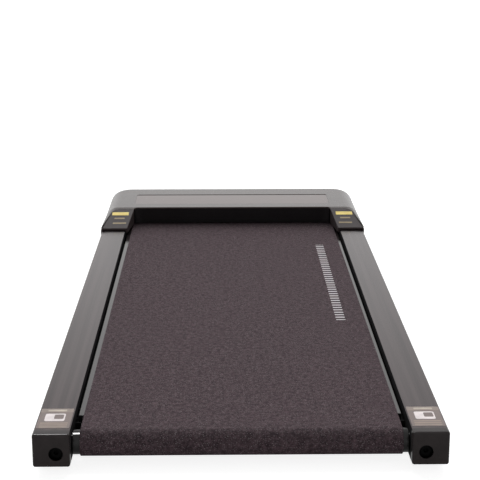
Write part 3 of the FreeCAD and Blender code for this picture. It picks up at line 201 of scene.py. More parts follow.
def deck_film():
    """Smooth film through which the board's fibres show, drawn out along the deck."""
    film_dark, film_light = (0.010, 0.0080, 0.0080), (0.024, 0.0185, 0.0185)
    finish, tree, shader = new_finish("deck_wood")
    fibres = noise(tree, scale=240, detail=4.0, draw_out=(1.0, 0.06, 1.0))
    tree.links.new(shaded(tree, fibres, film_dark, film_light), shader.inputs["Base Color"])
    tree.links.new(ranged(tree, fibres, low=0.08, high=0.13), shader.inputs["Roughness"])
    relief(tree, shader, fibres, depth=0.00004)
    return finish


# Painted shade: near-black side faces, so the slots and the deck's rear end look shaded.
edge_black_as_shade = (0.006, 0.006, 0.006)
deck_edge_shade = grained("deck_edge_shade", edge_black_as_shade, uneven=0.3, rough=(0.6, 0.75),
                      grain=500, depth=0.00005, gloss=0.15)
deck_finishes = [deck_film(), deck_edge_shade]
board = merged("deck_board")
level_from = 0.5
for face in board.faces:
    if abs(face.normal.z) < level_from:
        face.material_index = deck_finishes.index(deck_edge_shade)
deck_edge = 0.0008
ease(piece("deck_panel", board, deck_finishes, "frame", "deck_wood", "deck_board"), deck_edge)

rubber_black = (0.012, 0.012, 0.012)
soft_rubber = grained("soft_rubber", rubber_black, uneven=0.3, rough=(0.7, 0.85),
                      grain=900, depth=0.00008, gloss=0.3)
dress(soft_rubber, "deck_cushions", "drive_belt")


# Rollers: steel tubes with eased rims and a hard black coat, pressed over sealed ball bearings
# that turn on fixed axles. The rear tube's ends show between the belt and the end caps.

def vectors(box):
    """The low and high corners of a box, as vectors."""
    return [Vector(corner) for corner in box]


def both_halves(right_half):
    """A whole outline of (along X, radius) points from its right half."""
    return [(-along, radius) for along, radius in right_half] + list(reversed(right_half))


def turned(outline, place, closed=False, steps=64):
    """Spin an outline of (along X, radius) points about X, then set the shape in its place."""
    shape = bmesh.new()
    rim = [shape.verts.new((along, 0.0, radius)) for along, radius in outline]
    runs = list(zip(rim, rim[1:] + rim[:1] if closed else rim[1:]))
    edges = [shape.edges.new(run) for run in runs]
    bmesh.ops.spin(shape, geom=rim + edges, cent=(0, 0, 0), axis=(1, 0, 0), angle=2 * math.pi,
                   steps=steps, use_merge=True)
    bmesh.ops.remove_doubles(shape, verts=shape.verts, dist=same_spot)
    bmesh.ops.recalc_face_normals(shape, faces=shape.faces)
    bmesh.ops.transform(shape, matrix=place, verts=shape.verts)
    return shape


def brushed_steel(name, colour, rough):
    """Metal turned on a lathe: fine rings round X."""
    dark_share, smooth_share, rough_share = 0.8, 0.8, 1.3
    finish, tree, shader = new_finish(name)
    rings = noise(tree, scale=1400, detail=2.0, draw_out=(1.0, 0.03, 0.03))
    dull = [channel * dark_share for channel in colour]
    tree.links.new(shaded(tree, rings, dull, colour), shader.inputs["Base Color"])
    uneven = ranged(tree, rings, low=rough * smooth_share, high=rough * rough_share)
    tree.links.new(uneven, shader.inputs["Roughness"])
    shader.inputs["Metallic"].default_value = 1.0
    relief(tree, shader, rings, depth=0.00001)
    return finish


coat_black = (0.006, 0.0055, 0.0055)
roller_coat = grained("roller_coat", coat_black, uneven=0.2, rough=(0.1, 0.15),
                      grain=900, depth=0.000006, gloss=0.25)
axle_steel = brushed_steel("axle_steel", (0.045, 0.044, 0.043), rough=0.35)
tube_wall = 0.0014
tube_rim = 0.0008
rim_bend = tube_rim * 0.3
tube_overhang = 0.0014
for end in ("front", "rear"):
    low, high = vectors(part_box(end + "_roller_tube"))
    tube_radius = (high.z - low.z) / 2
    bore = tube_radius - tube_wall
    middle = (low + high) / 2
    half_length = (high.x - low.x) / 2 + tube_overhang
    tube_half = [(half_length, bore), (half_length, tube_radius - tube_rim),
                 (half_length - rim_bend, tube_radius - rim_bend), (half_length - tube_rim, tube_radius)]
    tube = turned(both_halves(tube_half), Matrix.Translation(middle), closed=True)
    piece("roller_" + end, tube, [roller_coat], end + "_roller", "roller_steel", end + "_roller_tube")
dress(axle_steel, "front_axle", "rear_axle", "front_roller_bearings", "rear_roller_bearings",
      "wheel_axles", "motor_shaft")


# Walking belt: a 1.6 mm rubber-faced loop, 398 mm wide, round both rollers and over the deck. It
# tracks a millimetre to the right, as such belts do. Its face is a fine pebble grain with pale
# flecks, and a plain row of ticks is printed on the right.

def value_of(tree, operation, *values):
    """A maths node on links or plain numbers."""
    node = tree.nodes.new("ShaderNodeMath")
    node.operation = operation
    for socket, value in zip(node.inputs, values):
        if isinstance(value, (int, float)):
            socket.default_value = value
        else:
            tree.links.new(value, socket)
    return node.outputs[0]


def tinted(tree, share, under, over):
    """A colour link with another colour laid over it, by a share from 0 to 1."""
    mix = tree.nodes.new("ShaderNodeMix")
    mix.data_type = "RGBA"
    factor, base, top = mix.inputs[0], mix.inputs[6], mix.inputs[7]
    top.default_value = (*over, 1.0)
    tree.links.new(share, factor)
    tree.links.new(under, base)
    return mix.outputs[2]


def grains(tree, place, in_a_metre):
    """Close-packed grains: the distance from each one's middle, and two tones of its own."""
    cells = tree.nodes.new("ShaderNodeTexVoronoi")
    cells.inputs["Scale"].default_value = in_a_metre
    tree.links.new(place, cells.inputs["Vector"])
    tones = tree.nodes.new("ShaderNodeSeparateColor")
    tree.links.new(cells.outputs["Color"], tones.inputs[0])
    return cells.outputs["Distance"], tones.outputs[0], tones.outputs[1]


belt_low, belt_high = vectors(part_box("walking_belt"))
belt_wrap = (belt_high.z - belt_low.z) / 2
belt_axis_high = belt_low.z + belt_wrap
belt_thick = 0.0016
belt_edge = 0.0004


def belt_face():
    """Pebbled rubber, scuffed in patches and flecked, with a printed row of ticks on the upper run."""
    pebble_dark, pebble_light = (0.0375, 0.0232, 0.0287), (0.137, 0.0870, 0.1025)
    pebble_grey, worn_tone = (0.058, 0.052, 0.051), (0.066, 0.050, 0.055)
    scuff_dark, fleck_pale = (0.023, 0.0160, 0.0185), (0.19, 0.162, 0.170)
    tick_white = (0.62, 0.60, 0.61)
    grey_share = 0.5
    tick_place, tick_half = 0.162, 0.0072
    tick_rear, tick_front = -0.174, 0.277
    tick_pitch, tick_length = 0.0125, 0.0045
    pebbles_in_a_metre = 900
    flecks_in_a_metre = 1500
    pale_from = 0.955
    finish, tree, shader = new_finish("belt_rubber")
    place = tree.nodes.new("ShaderNodeTexCoord")
    dome, shade, hue = grains(tree, place.outputs["Object"], pebbles_in_a_metre)
    ground = shaded(tree, shade, pebble_dark, pebble_light, start=0.0, end=1.0)
    hued = tinted(tree, value_of(tree, "MULTIPLY", hue, grey_share), ground, pebble_grey)
    clouds = noise(tree, scale=9, detail=4.0)
    worn = tinted(tree, ranged(tree, clouds, low=0.0, high=0.25), hued, worn_tone)
    mottle = noise(tree, scale=160, detail=3.0)
    scuffed = tinted(tree, ranged(tree, mottle, low=0.0, high=0.85), worn, scuff_dark)
    _, fleck, _ = grains(tree, place.outputs["Object"], flecks_in_a_metre)
    flecked = tinted(tree, value_of(tree, "GREATER_THAN", fleck, pale_from), scuffed, fleck_pale)
    split = tree.nodes.new("ShaderNodeSeparateXYZ")
    tree.links.new(place.outputs["Object"], split.inputs[0])
    across, along, high = split.outputs
    in_row = value_of(tree, "COMPARE", across, tick_place, tick_half)
    row_middle, row_half = (tick_rear + tick_front) / 2, (tick_front - tick_rear) / 2
    in_reach = value_of(tree, "COMPARE", along, row_middle, row_half)
    step = value_of(tree, "FLOORED_MODULO", along, tick_pitch)
    in_tick = value_of(tree, "LESS_THAN", step, tick_length)
    on_top = value_of(tree, "GREATER_THAN", high, belt_axis_high)
    in_print = value_of(tree, "MULTIPLY", value_of(tree, "MULTIPLY", in_row, in_reach),
                        value_of(tree, "MULTIPLY", in_tick, on_top))
    inked = tinted(tree, in_print, flecked, tick_white)
    tree.links.new(inked, shader.inputs["Base Color"])
    tree.links.new(ranged(tree, dome, low=0.72, high=0.9), shader.inputs["Roughness"])
    shader.inputs["Specular IOR Level"].default_value = 0.08
    relief(tree, shader, value_of(tree, "SUBTRACT", 1.0, dome), depth=0.00025)
    return finish


def only(kind, items):
    """The vertices or the edges among what a bmesh operator gives back."""
    return [item for item in items if isinstance(item, kind)]


belt_trim = 0.0020
wrap_steps = 28
belt_left, belt_right = belt_low.x + belt_trim, belt_high.x
belt_rear_axis = belt_low.y + belt_wrap
belt_front_axis = belt_high.y - belt_wrap
inner, outer = belt_high.z - belt_thick, belt_high.z
section = [(belt_left + belt_edge, inner), (belt_right - belt_edge, inner),
           (belt_right, inner + belt_edge), (belt_right, outer - belt_edge),
           (belt_right - belt_edge, outer), (belt_left + belt_edge, outer),
           (belt_left, outer - belt_edge), (belt_left, inner + belt_edge)]
loop = bmesh.new()
ring = [loop.verts.new((across, belt_rear_axis, high)) for across, high in section]
start = [loop.edges.new(pair) for pair in zip(ring, ring[1:] + ring[:1])]
turn = bmesh.ops.spin(loop, geom=ring + start, cent=(0, belt_rear_axis, belt_axis_high), axis=(1, 0, 0),
                      angle=math.pi, steps=wrap_steps)
below = only(bmesh.types.BMEdge, turn["geom_last"])
run = bmesh.ops.extrude_edge_only(loop, edges=below)["geom"]
bmesh.ops.translate(loop, vec=(0, belt_front_axis - belt_rear_axis, 0), verts=only(bmesh.types.BMVert, run))
ahead = [edge for edge in only(bmesh.types.BMEdge, run)
         if all(abs(vert.co.y - belt_front_axis) < same_spot for vert in edge.verts)]
turn = bmesh.ops.spin(loop, geom=ahead + list({vert for edge in ahead for vert in edge.verts}),
                      cent=(0, belt_front_axis, belt_axis_high), axis=(1, 0, 0), angle=math.pi,
                      steps=wrap_steps)
above = only(bmesh.types.BMEdge, turn["geom_last"])
bmesh.ops.bridge_loops(loop, edges=start + above)
bmesh.ops.recalc_face_normals(loop, faces=loop.faces)
belt = piece("belt_loop", loop, [belt_face()], "frame", "belt_rubber", "walking_belt")
tension = next(joint for joint in frame["joints"] if joint["name"] == "belt_tension")
slide = max(tension["range_m"])
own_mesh(belt)


# Tension bolts: black oxide socket-head bolts in the rear brackets, reached by a hex key through
# the end caps. They draw the rear axle back. Their colour is darker than oxide as painted shade,
# so the key holes look dark inside.

# Painted shade: darker than black oxide, so the key holes look dark inside.
oxide_black_and_hole_shade = (0.002, 0.002, 0.002)
bolt_oxide_and_hole_shade = grained("bolt_oxide_and_hole_shade", oxide_black_and_hole_shade, uneven=0.2, rough=(0.5, 0.65),
                     grain=1500, depth=0.00002, gloss=0.04)
dress(bolt_oxide_and_hole_shade, "tension_bolt_left", "tension_bolt_right")


# Side rails: folded aluminium covers over the beams, brushed along their length and anodised dark.
# The top is flat, its two long edges are rolled over, and the inner side ends in a short lip whose
# inward face is black as painted shade.

def extruded(outline, way):
    """A solid bar: an outline's face, drawn out that way."""
    shape = bmesh.new()
    end_face = shape.faces.new([shape.verts.new(point) for point in outline])
    drawn = bmesh.ops.extrude_face_region(shape, geom=[end_face])["geom"]
    bmesh.ops.translate(shape, vec=way, verts=only(bmesh.types.BMVert, drawn))
    bmesh.ops.recalc_face_normals(shape, faces=shape.faces)
    return shape


def anodised_rail():
    """Metal brushed along Y: fine streaks on wide, faint bands."""
    band_dark, band_light = (0.034, 0.0245, 0.0255), (0.069, 0.0515, 0.0525)
    streak_light = (0.073, 0.0545, 0.0555)
    finish, tree, shader = new_finish("rail_metal")
    brush = noise(tree, scale=1300, detail=2.0, draw_out=(1.0, 0.004, 1.0))
    bands = noise(tree, scale=110, detail=2.0, draw_out=(1.0, 0.012, 1.0))
    ground = shaded(tree, bands, band_dark, band_light)
    streaks = tinted(tree, ranged(tree, brush, low=0.0, high=0.6), ground, streak_light)
    tree.links.new(streaks, shader.inputs["Base Color"])
    tree.links.new(ranged(tree, brush, low=0.12, high=0.17), shader.inputs["Roughness"])
    shader.inputs["Metallic"].default_value = 1.0
    relief(tree, shader, brush, depth=0.000012)
    return finish


rail_finishes = [anodised_rail(), frame_steel]
rail_wall = 0.0018
rail_lip = 0.015
rail_roll = 0.0012
roll_steps = 5
shade_lip_facing = 0.9
both_sides = (("left", -1), ("right", 1))
for side, sign in both_sides:
    low, high = vectors(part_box("side_rail_" + side))
    outside, inside = (low.x, high.x) if sign < 0 else (high.x, low.x)
    lip = high.z - rail_lip
    under = high.z - rail_wall
    thick = sign * rail_wall
    profile = [(inside, lip), (inside + thick, lip), (inside + thick, under), (outside - thick, under),
               (outside - thick, low.z), (outside, low.z), (outside, high.z), (inside, high.z)]
    cover = extruded([(across, low.y, rise) for across, rise in profile], (0, high.y - low.y, 0))
    top_edges = [edge for edge in cover.edges
                 if all(abs(vert.co.z - high.z) < same_spot for vert in edge.verts)
                 and abs(edge.verts[0].co.y - edge.verts[1].co.y) > same_spot]
    bmesh.ops.bevel(cover, geom=top_edges, offset=rail_roll, segments=roll_steps, profile=0.5,
                    affect="EDGES", material=-1)
    # Painted shade: the lip's inward faces take the black frame finish, as the shade beside the deck.
    for face in cover.faces:
        if face.normal.x * sign < -shade_lip_facing:
            face.material_index = rail_finishes.index(frame_steel)
    piece("rail_cover_" + side, cover, rail_finishes, "frame", "rail_metal", "side_rail_" + side)


# Axle guards: black steel plates that close the rails' inner sides at the rear, flush with the lips.
# Each has an open notch in which the roller's axle slides as the belt is tightened, and a flange
# turned in towards the belt, which closes the corner behind the deck. Their black stands in for the
# shade in these rear corners: painted shade.

def block(shape, low, high):
    """Add a box between two opposite corners to a shape."""
    verts = bmesh.ops.create_cube(shape, size=1.0)["verts"]
    bmesh.ops.scale(shape, vec=high - low, verts=verts)
    bmesh.ops.translate(shape, vec=(low + high) / 2, verts=verts)
    bmesh.ops.recalc_face_normals(shape, faces=shape.faces)


guard_thick = 0.0015
guard_reach = 0.062
belt_play = 0.0006
notch_play = 0.0006
axle_low, axle_high = vectors(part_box("rear_axle"))
for side, sign in both_sides:
    low, high = vectors(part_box("side_rail_" + side))
    inside = high.x if sign < 0 else low.x
    top = high.z - rail_lip
    front = low.y + guard_reach
    notch_rear, notch_front = axle_low.y - notch_play, axle_high.y + slide + notch_play
    notch_foot = axle_low.z - notch_play
    profile = [(low.y, low.z), (front, low.z), (front, top), (notch_front, top), (notch_front, notch_foot),
               (notch_rear, notch_foot), (notch_rear, top), (low.y, top)]
    guard = extruded([(inside, along, rise) for along, rise in profile], (sign * guard_thick, 0, 0))
    belt_side = sign * (belt_high.x + belt_play)
    # Painted shade: a dark flange that closes the shaded corner behind the deck.
    block(guard, Vector((inside, front - guard_thick, low.z)), Vector((belt_side, front, top)))
    piece("axle_guard_" + side, guard, [frame_steel], "frame", "frame_steel")


# Slot strips: thin black steel strips welded along the beams' inner sides, over the cross beams.
# They close the slots between the rails and the deck, so no floor shows through: dark sheets that
# stand in for the shade down the slots, as painted shade.

strip_thick = 0.0012
strip_play = 0.0002
strip_under_deck = 0.0012
deck_half = vectors(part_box("deck_board"))[1].x
strip_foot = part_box("cross_beam_middle")[1][2] + strip_play
strip_top = strip_foot + strip_thick
for side, sign in both_sides:
    low, high = vectors(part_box("side_beam_" + side))
    beam_face = (high.x if sign < 0 else low.x) - sign * strip_play
    deck_side = sign * (deck_half - strip_under_deck)
    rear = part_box("side_rail_" + side)[0][1] + guard_reach + strip_play
    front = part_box("front_cap_" + side)[0][1] - strip_play
    # Painted shade: a dark strip under each slot, where the slot is in shade.
    strip = bmesh.new()
    block(strip, Vector((beam_face, rear, strip_foot)), Vector((deck_side, front, strip_top)))
    piece("slot_shade_strip_" + side, strip, [frame_steel], "frame", "frame_steel")


# Rear end caps: moulded black boxes over the rails' ends, with a round hole for the hex key. A
# tongue under each is screwed up into the beam.

cap_black = (0.0230, 0.0180, 0.0178)
cap_plastic = grained("cap_plastic", cap_black, uneven=0.12, rough=(0.18, 0.24),
                      grain=1100, depth=0.000008, gloss=0.16)
for side in ("left", "right"):
    piece("rear_end_cap_" + side, merged("rear_cap_" + side), [cap_plastic], "frame", "cap_plastic",
          "rear_cap_" + side)


# Rail plates: printed films stuck to the rails' rear ends. Each has a header strip, a blank window
# with a pale frame and three plain bars, in thin layers of ink.

def printed(name, under, marks, inks, slot, cells=(6, 1)):
    """Thin films (left, right, rear, front, corner, ink, layer) laid on a shape's upper face."""
    film_thick = 0.00014
    above_all = 0.2
    ground = BVHTree.FromBMesh(under)
    sheet = bmesh.new()
    for left, right, rear, front, corner, ink, layer in marks:
        earlier = set(sheet.faces)
        patch = bmesh.ops.create_grid(sheet, x_segments=cells[0], y_segments=cells[1],
                                      size=0.5)["verts"]
        bmesh.ops.scale(sheet, vec=(right - left, front - rear, 1), verts=patch)
        bmesh.ops.translate(sheet, vec=((left + right) / 2, (rear + front) / 2, 0), verts=patch)
        corners = [vert for vert in patch if len(vert.link_edges) == 2]
        bmesh.ops.bevel(sheet, geom=corners, offset=corner, segments=4, profile=0.5, affect="VERTICES",
                        material=-1)
        film = [face for face in sheet.faces if face not in earlier]
        for vert in {vert for face in film for vert in face.verts}:
            spot = ground.ray_cast(Vector((vert.co.x, vert.co.y, above_all)), Vector((0, 0, -1)))[0]
            vert.co.z = spot.z + layer * film_thick / 2
        raised = bmesh.ops.extrude_face_region(sheet, geom=film)["geom"]
        bmesh.ops.translate(sheet, vec=(0, 0, film_thick), verts=only(bmesh.types.BMVert, raised))
        for face in sheet.faces:
            if face not in earlier:
                face.material_index = ink
    bmesh.ops.recalc_face_normals(sheet, faces=sheet.faces)
    return piece(name, sheet, inks, "frame", slot)


def printing_ink(name, colour):
    """Screen-printed ink, satin and nearly even."""
    return grained(name, colour, uneven=0.08, rough=(0.3, 0.4), grain=1500, depth=0.00001, gloss=0.35)


plate_inks = [printing_ink("plate_ground", (0.150, 0.110, 0.100)),
              printing_ink("plate_strip", (0.215, 0.168, 0.142)),
              printing_ink("plate_pale", (0.72, 0.65, 0.65)),
              printing_ink("plate_tan", (0.27, 0.205, 0.165)),
              printing_ink("plate_header_bar", (0.43, 0.37, 0.30))]
GROUND, STRIP, PALE, TAN, HEADER_BAR = range(len(plate_inks))
bar_front, bar_pitch, bar_length = -0.5965, 0.006, 0.0035
plate_bars = [bar_front - bar_pitch * row for row in range(3)]
plate_marks = [(-0.0205, 0.0205, -0.6145, -0.5515, 0.0015, GROUND, 0),
               (-0.0202, 0.0202, -0.5640, -0.5518, 0.0012, STRIP, 1),
               (-0.0115, 0.0120, -0.5605, -0.5555, 0.0010, HEADER_BAR, 2),
               (-0.0130, 0.0120, -0.5920, -0.5680, 0.0030, PALE, 1),
               (-0.0015, 0.0102, -0.5850, -0.5712, 0.0020, GROUND, 2)]
plate_marks += [(-0.0170, 0.0170, front - bar_length, front, 0.0008, TAN, 1) for front in plate_bars]
for side in ("left", "right"):
    low, high = vectors(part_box("side_rail_" + side))
    middle = (low.x + high.x) / 2
    side_marks = [(middle + left, middle + right, *rest) for left, right, *rest in plate_marks]
    printed("rail_plate_" + side, merged("side_rail_" + side), side_marks, plate_inks, "rail_metal")


# Motor and drive: a painted motor with cast end bells in a moulded cradle, a ribbed belt to the
# front roller and a controller with a finned lid. All of it is under the hood.

motor_paint = grained("motor_paint", (0.03, 0.03, 0.032), uneven=0.2, rough=(0.3, 0.4),
                      grain=500, depth=0.00003)
bare_aluminium, plain_iron = (0.55, 0.55, 0.56), (0.20, 0.19, 0.18)
cast_aluminium = grained("cast_aluminium", bare_aluminium, uneven=0.12, rough=(0.38, 0.5),
                         grain=800, depth=0.00006, metal=1.0)
rotor_iron = grained("rotor_iron", plain_iron, uneven=0.2, rough=(0.4, 0.55),
                     grain=1200, depth=0.00002, metal=1.0)
moulding_black = (0.014, 0.014, 0.015)
inner_plastic = grained("inner_plastic", moulding_black, uneven=0.2, rough=(0.42, 0.55),
                        grain=900, depth=0.00004, gloss=0.4)
dress(motor_paint, "motor_can")
dress(cast_aluminium, "motor_end_bells", "drive_pulley", "motor_pulley", "controller_lid")
dress(rotor_iron, "motor_rotor_core")
dress(inner_plastic, "motor_fan", "motor_cradle", "controller_case")


# Hood: one moulded shell over the motor, warm dark grey with a satin lacquer. It is clipped down
# over the beams, notched for the belt, and has a shallow seat for the display panel.

hood_grey = (0.050, 0.037, 0.034)
hood_plastic = grained("hood_plastic", hood_grey, uneven=0.04, rough=(0.19, 0.22),
                       grain=600, depth=0.000012)
dress(hood_plastic, "hood_cover")


# Front caps: black moulded covers where the rails run under the hood, with a leaf-shaped outer
# edge and a roof that falls to a low rear end. A plain yellow bar is printed across each, with two
# thin lines below it.

def lowered_cap(side):
    """The cap with its roof drawn down at the rear."""
    roof_from = 0.0525
    drop = 0.003
    low, high = vectors(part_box("front_cap_" + side))
    shape = merged("front_cap_" + side)
    for vert in shape.verts:
        if vert.co.z > roof_from:
            vert.co.z -= drop * (high.y - vert.co.y) / (high.y - low.y)
    return shape


bar_inks = [printing_ink("bar_yellow", (0.82, 0.62, 0.12)),
            printing_ink("line_gold", (0.25, 0.18, 0.075))]
YELLOW, GOLD = range(len(bar_inks))
cover_black = (0.026, 0.0185, 0.0190)
cover_plastic = grained("cover_plastic", cover_black, uneven=0.1, rough=(0.52, 0.62),
                        grain=1300, depth=0.00004, gloss=0.2)
cover_edge = 0.0005
bar_marks = [(0.2050, 0.2375, 0.4130, 0.4250, 0.0010, YELLOW, 1),
             (0.2120, 0.2320, 0.3985, 0.4035, 0.0008, GOLD, 1),
             (0.2080, 0.2340, 0.3800, 0.3850, 0.0008, GOLD, 1)]
for side, sign in both_sides:
    ease(piece("rail_end_cover_" + side, lowered_cap(side), [cover_plastic], "frame", "cap_plastic",
               "front_cap_" + side), cover_edge)
    side_marks = bar_marks
    if sign < 0:
        side_marks = [(-right, -left, *rest) for left, right, *rest in bar_marks]
    printed("cover_bars_" + side, lowered_cap(side), side_marks, bar_inks, "cap_plastic", cells=(10, 3))


# Bezel: the glossy black wall across the front of the belt, one moulded strip. Its corners are
# rounded like the inside of a funnel, tight under the hood and wider at the foot.

bezel_plastic = grained("bezel_plastic", (0.0035, 0.0035, 0.0037), uneven=0.1, rough=(0.12, 0.16),
                        grain=300, depth=0.00001)
bezel_skin = 0.0022
top_round, foot_round = 0.008, 0.019
corner_steps = 12
low, high = vectors(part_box("hood_bezel"))
wall_face = high.y - bezel_skin
wall_half = high.x - bezel_skin
corner_depth = wall_face - low.y
wall = bmesh.new()
levels = []
for rise, radius in ((low.z, foot_round), (high.z, top_round)):
    earlier = set(wall.edges)
    middle = wall.verts.new((0, wall_face, rise))
    bend = wall.verts.new((wall_half - radius, wall_face, rise))
    wall.edges.new((middle, bend))
    bmesh.ops.spin(wall, geom=[bend], cent=(wall_half - radius, wall_face - radius, rise),
                   axis=(0, 0, -1), angle=math.pi / 2, steps=corner_steps)
    level = [edge for edge in wall.edges if edge not in earlier]
    for vert in {vert for edge in level for vert in edge.verts}:
        vert.co.y = wall_face - (wall_face - vert.co.y) * corner_depth / radius
    levels += level
bmesh.ops.bridge_loops(wall, edges=levels)
bmesh.ops.mirror(wall, geom=wall.verts[:] + wall.edges[:] + wall.faces[:], axis="X",
                 merge_dist=same_spot)
bmesh.ops.recalc_face_normals(wall, faces=wall.faces)
bmesh.ops.solidify(wall, geom=wall.faces[:], thickness=-bezel_skin)
bmesh.ops.recalc_face_normals(wall, faces=wall.faces)
piece("belt_wall", wall, [bezel_plastic], "frame", "bezel_plastic", "hood_bezel")


# Display panel: a glossy tinted acrylic sheet bonded into the hood's seat, a little short of its
# front wall, which leaves a groove. Board and digits lie under it and show only when lit.

def acrylic():
    """Smooth tinted sheet with a faint haze."""
    tint_dark, tint_light = (0.090, 0.054, 0.048), (0.100, 0.061, 0.055)
    finish, tree, shader = new_finish("lens_plastic")
    haze = noise(tree, scale=40, detail=3.0)
    tree.links.new(shaded(tree, haze, tint_dark, tint_light), shader.inputs["Base Color"])
    tree.links.new(ranged(tree, haze, low=0.05, high=0.08), shader.inputs["Roughness"])
    return finish


lens_groove = 0.0055
lens_corner = 0.005
lens_edge = 0.0003
low, high = vectors(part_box("display_lens"))
high.y -= lens_groove
sheet = bmesh.new()
block(sheet, low, high)
uprights = [edge for edge in sheet.edges if abs(edge.verts[0].co.z - edge.verts[1].co.z) > same_spot]
bmesh.ops.bevel(sheet, geom=uprights, offset=lens_corner, segments=6, profile=0.5, affect="EDGES",
                material=-1)
rim = [edge for edge in sheet.edges if all(vert.co.z > high.z - same_spot for vert in edge.verts)]
bmesh.ops.bevel(sheet, geom=rim, offset=lens_edge, segments=2, profile=0.5, affect="EDGES", material=-1)
piece("display_panel", sheet, [acrylic()], "frame", "lens_plastic", "display_lens")
circuit_board = grained("circuit_board", (0.012, 0.06, 0.028), uneven=0.2, rough=(0.35, 0.5),
                        grain=400, depth=0.00002)
digit_plastic = grained("digit_plastic", (0.05, 0.012, 0.01), uneven=0.15, rough=(0.3, 0.4),
                        grain=600, depth=0.00002)
dress(circuit_board, "display_board")
dress(digit_plastic, "display_digits")


# Belly pan and feet: a black moulded tray under the nose, held by four screws, and four rubber
# feet screwed up into the beams.

pan_edge = 0.0005
ease(piece("nose_tray", merged("belly_pan"), [inner_plastic], "frame", "inner_plastic", "belly_pan"),
     pan_edge)
foot_edge = 0.0008
ease(piece("floor_feet", merged("rubber_feet"), [soft_rubber], "frame", "soft_rubber", "rubber_feet"),
     foot_edge)


# Transport wheels: a grooved rubber tyre round a moulded hub with a raised boss, on a steel pin
# between two ears in the nose.

wheel_rubber = grained("wheel_rubber", rubber_black, uneven=0.3, rough=(0.6, 0.75),
                       grain=1100, depth=0.00006, gloss=0.35)
hub_grey = grained("hub_grey", (0.06, 0.06, 0.062), uneven=0.1, rough=(0.35, 0.45),
                   grain=900, depth=0.00003)
tread_wear = 0.00002
tyre_depth, bead_step = 0.0055, 0.001
shoulder, shoulder_bend = 0.0025, 0.0008
groove_half, groove_foot_half, groove_depth = 0.0014, 0.0009, 0.0007
pin_bore = 0.00405
boss_inset, boss_radius, boss_chamfer, boss_draft = 0.0006, 0.0062, 0.0006, 0.001
web_half = 0.0055
rim_inset, rim_chamfer = 0.0010, 0.0004
rim_wall, rim_lip, tyre_play = 0.002, 0.0013, 0.0001
for side in ("left", "right"):
    node = "transport_wheel_" + side
    low, high = vectors(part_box(node))
    middle = Matrix.Translation((low + high) / 2)
    tread = (high.z - low.z) / 2 - tread_wear
    half = (high.x - low.x) / 2
    bead = tread - tyre_depth
    tyre_half = [(half - bead_step, bead), (half, bead + bead_step), (half, tread - shoulder),
                 (half - shoulder_bend, tread - shoulder_bend), (half - shoulder, tread),
                 (groove_half, tread), (groove_foot_half, tread - groove_depth)]
    tyre = turned(both_halves(tyre_half), middle, closed=True)
    piece("tyre_" + side, tyre, [wheel_rubber], node, "wheel_rubber", node)
    boss, rim = half - boss_inset, half - rim_inset
    hub_half = [(boss, pin_bore), (boss, boss_radius), (boss - boss_chamfer, boss_radius + boss_chamfer),
                (web_half, boss_radius + boss_draft), (web_half, bead - rim_wall),
                (rim - rim_chamfer, bead - rim_lip), (rim, bead - tyre_play)]
    hub = turned(both_halves(hub_half), middle, closed=True)
    piece("hub_" + side, hub, [hub_grey], node, "wheel_rubber", node)


# Power entry: a recessed panel in the nose with the mains inlet and its nickel pins, a rocker
# switch and a breaker with a red push button that springs back.

dress(inner_plastic, "power_panel", "switch_housing", "breaker_body")
nickel = grained("nickel", (0.60, 0.58, 0.55), uneven=0.08, rough=(0.2, 0.3),
                 grain=1500, depth=0.000005, metal=1.0)
inlet_finishes = [inner_plastic, nickel]
pin_reach = 0.0065
low, high = vectors(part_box("power_inlet"))
inlet = merged("power_inlet")
for face in inlet.faces:
    if all(abs(vert.co.z - (low.z + high.z) / 2) < pin_reach for vert in face.verts):
        face.material_index = inlet_finishes.index(nickel)
piece("mains_inlet", inlet, inlet_finishes, "frame", "inner_plastic", "power_inlet")

rocker_plastic = grained("rocker_plastic", (0.02, 0.02, 0.021), uneven=0.1, rough=(0.22, 0.3),
                         grain=900, depth=0.00002)
rocker_edge = 0.0006
ease(piece("rocker_cap", merged("power_rocker"), [rocker_plastic], "power_rocker", "rocker_plastic",
           "power_rocker"), rocker_edge)

button_red = grained("button_red", (0.30, 0.018, 0.014), uneven=0.08, rough=(0.28, 0.36),
                     grain=900, depth=0.00001)
low, high = vectors(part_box("breaker_button"))
press_way = Matrix.Translation((low + high) / 2) @ Matrix.Rotation(math.radians(90), 4, "Z")
half_length = (high.y - low.y) / 2
stem = (high.x - low.x) / 2
crown = 0.0012
crown_bends = [(1.0, 0.0), (0.35, 0.4), (0.0, 1.3)]
bore_play = 0.0002
dome = [(bore_play - half_length, 0.0), (bore_play - half_length, stem)]
dome += [(half_length - crown * back, stem - crown * inward) for back, inward in crown_bends]
dome += [(half_length, 0.0)]
piece("breaker_dome", turned(dome, press_way, steps=32), [button_red], "breaker_button", "inner_plastic",
      "breaker_button")


# Studio: a pale floor that keeps the pad's shadow, an even white surround, a broad soft light from
# the far wall, which leaves the belt's front in the hood's shade, a weak light from in front, and a
# small window overhead that only glints.

def seen_directly(tree, mirrored=1.0):
    """1 for rays from the camera, a share for rays from a mirror or glass, 0 for scattered light."""
    path = tree.nodes.new("ShaderNodeLightPath")
    camera = path.outputs["Is Camera Ray"]
    mirror = value_of(tree, "MAXIMUM", path.outputs["Is Glossy Ray"], path.outputs["Is Transmission Ray"])
    return value_of(tree, "MAXIMUM", camera, value_of(tree, "MULTIPLY", mirror, mirrored))


pure_white = (1.0, 1.0, 1.0, 1.0)


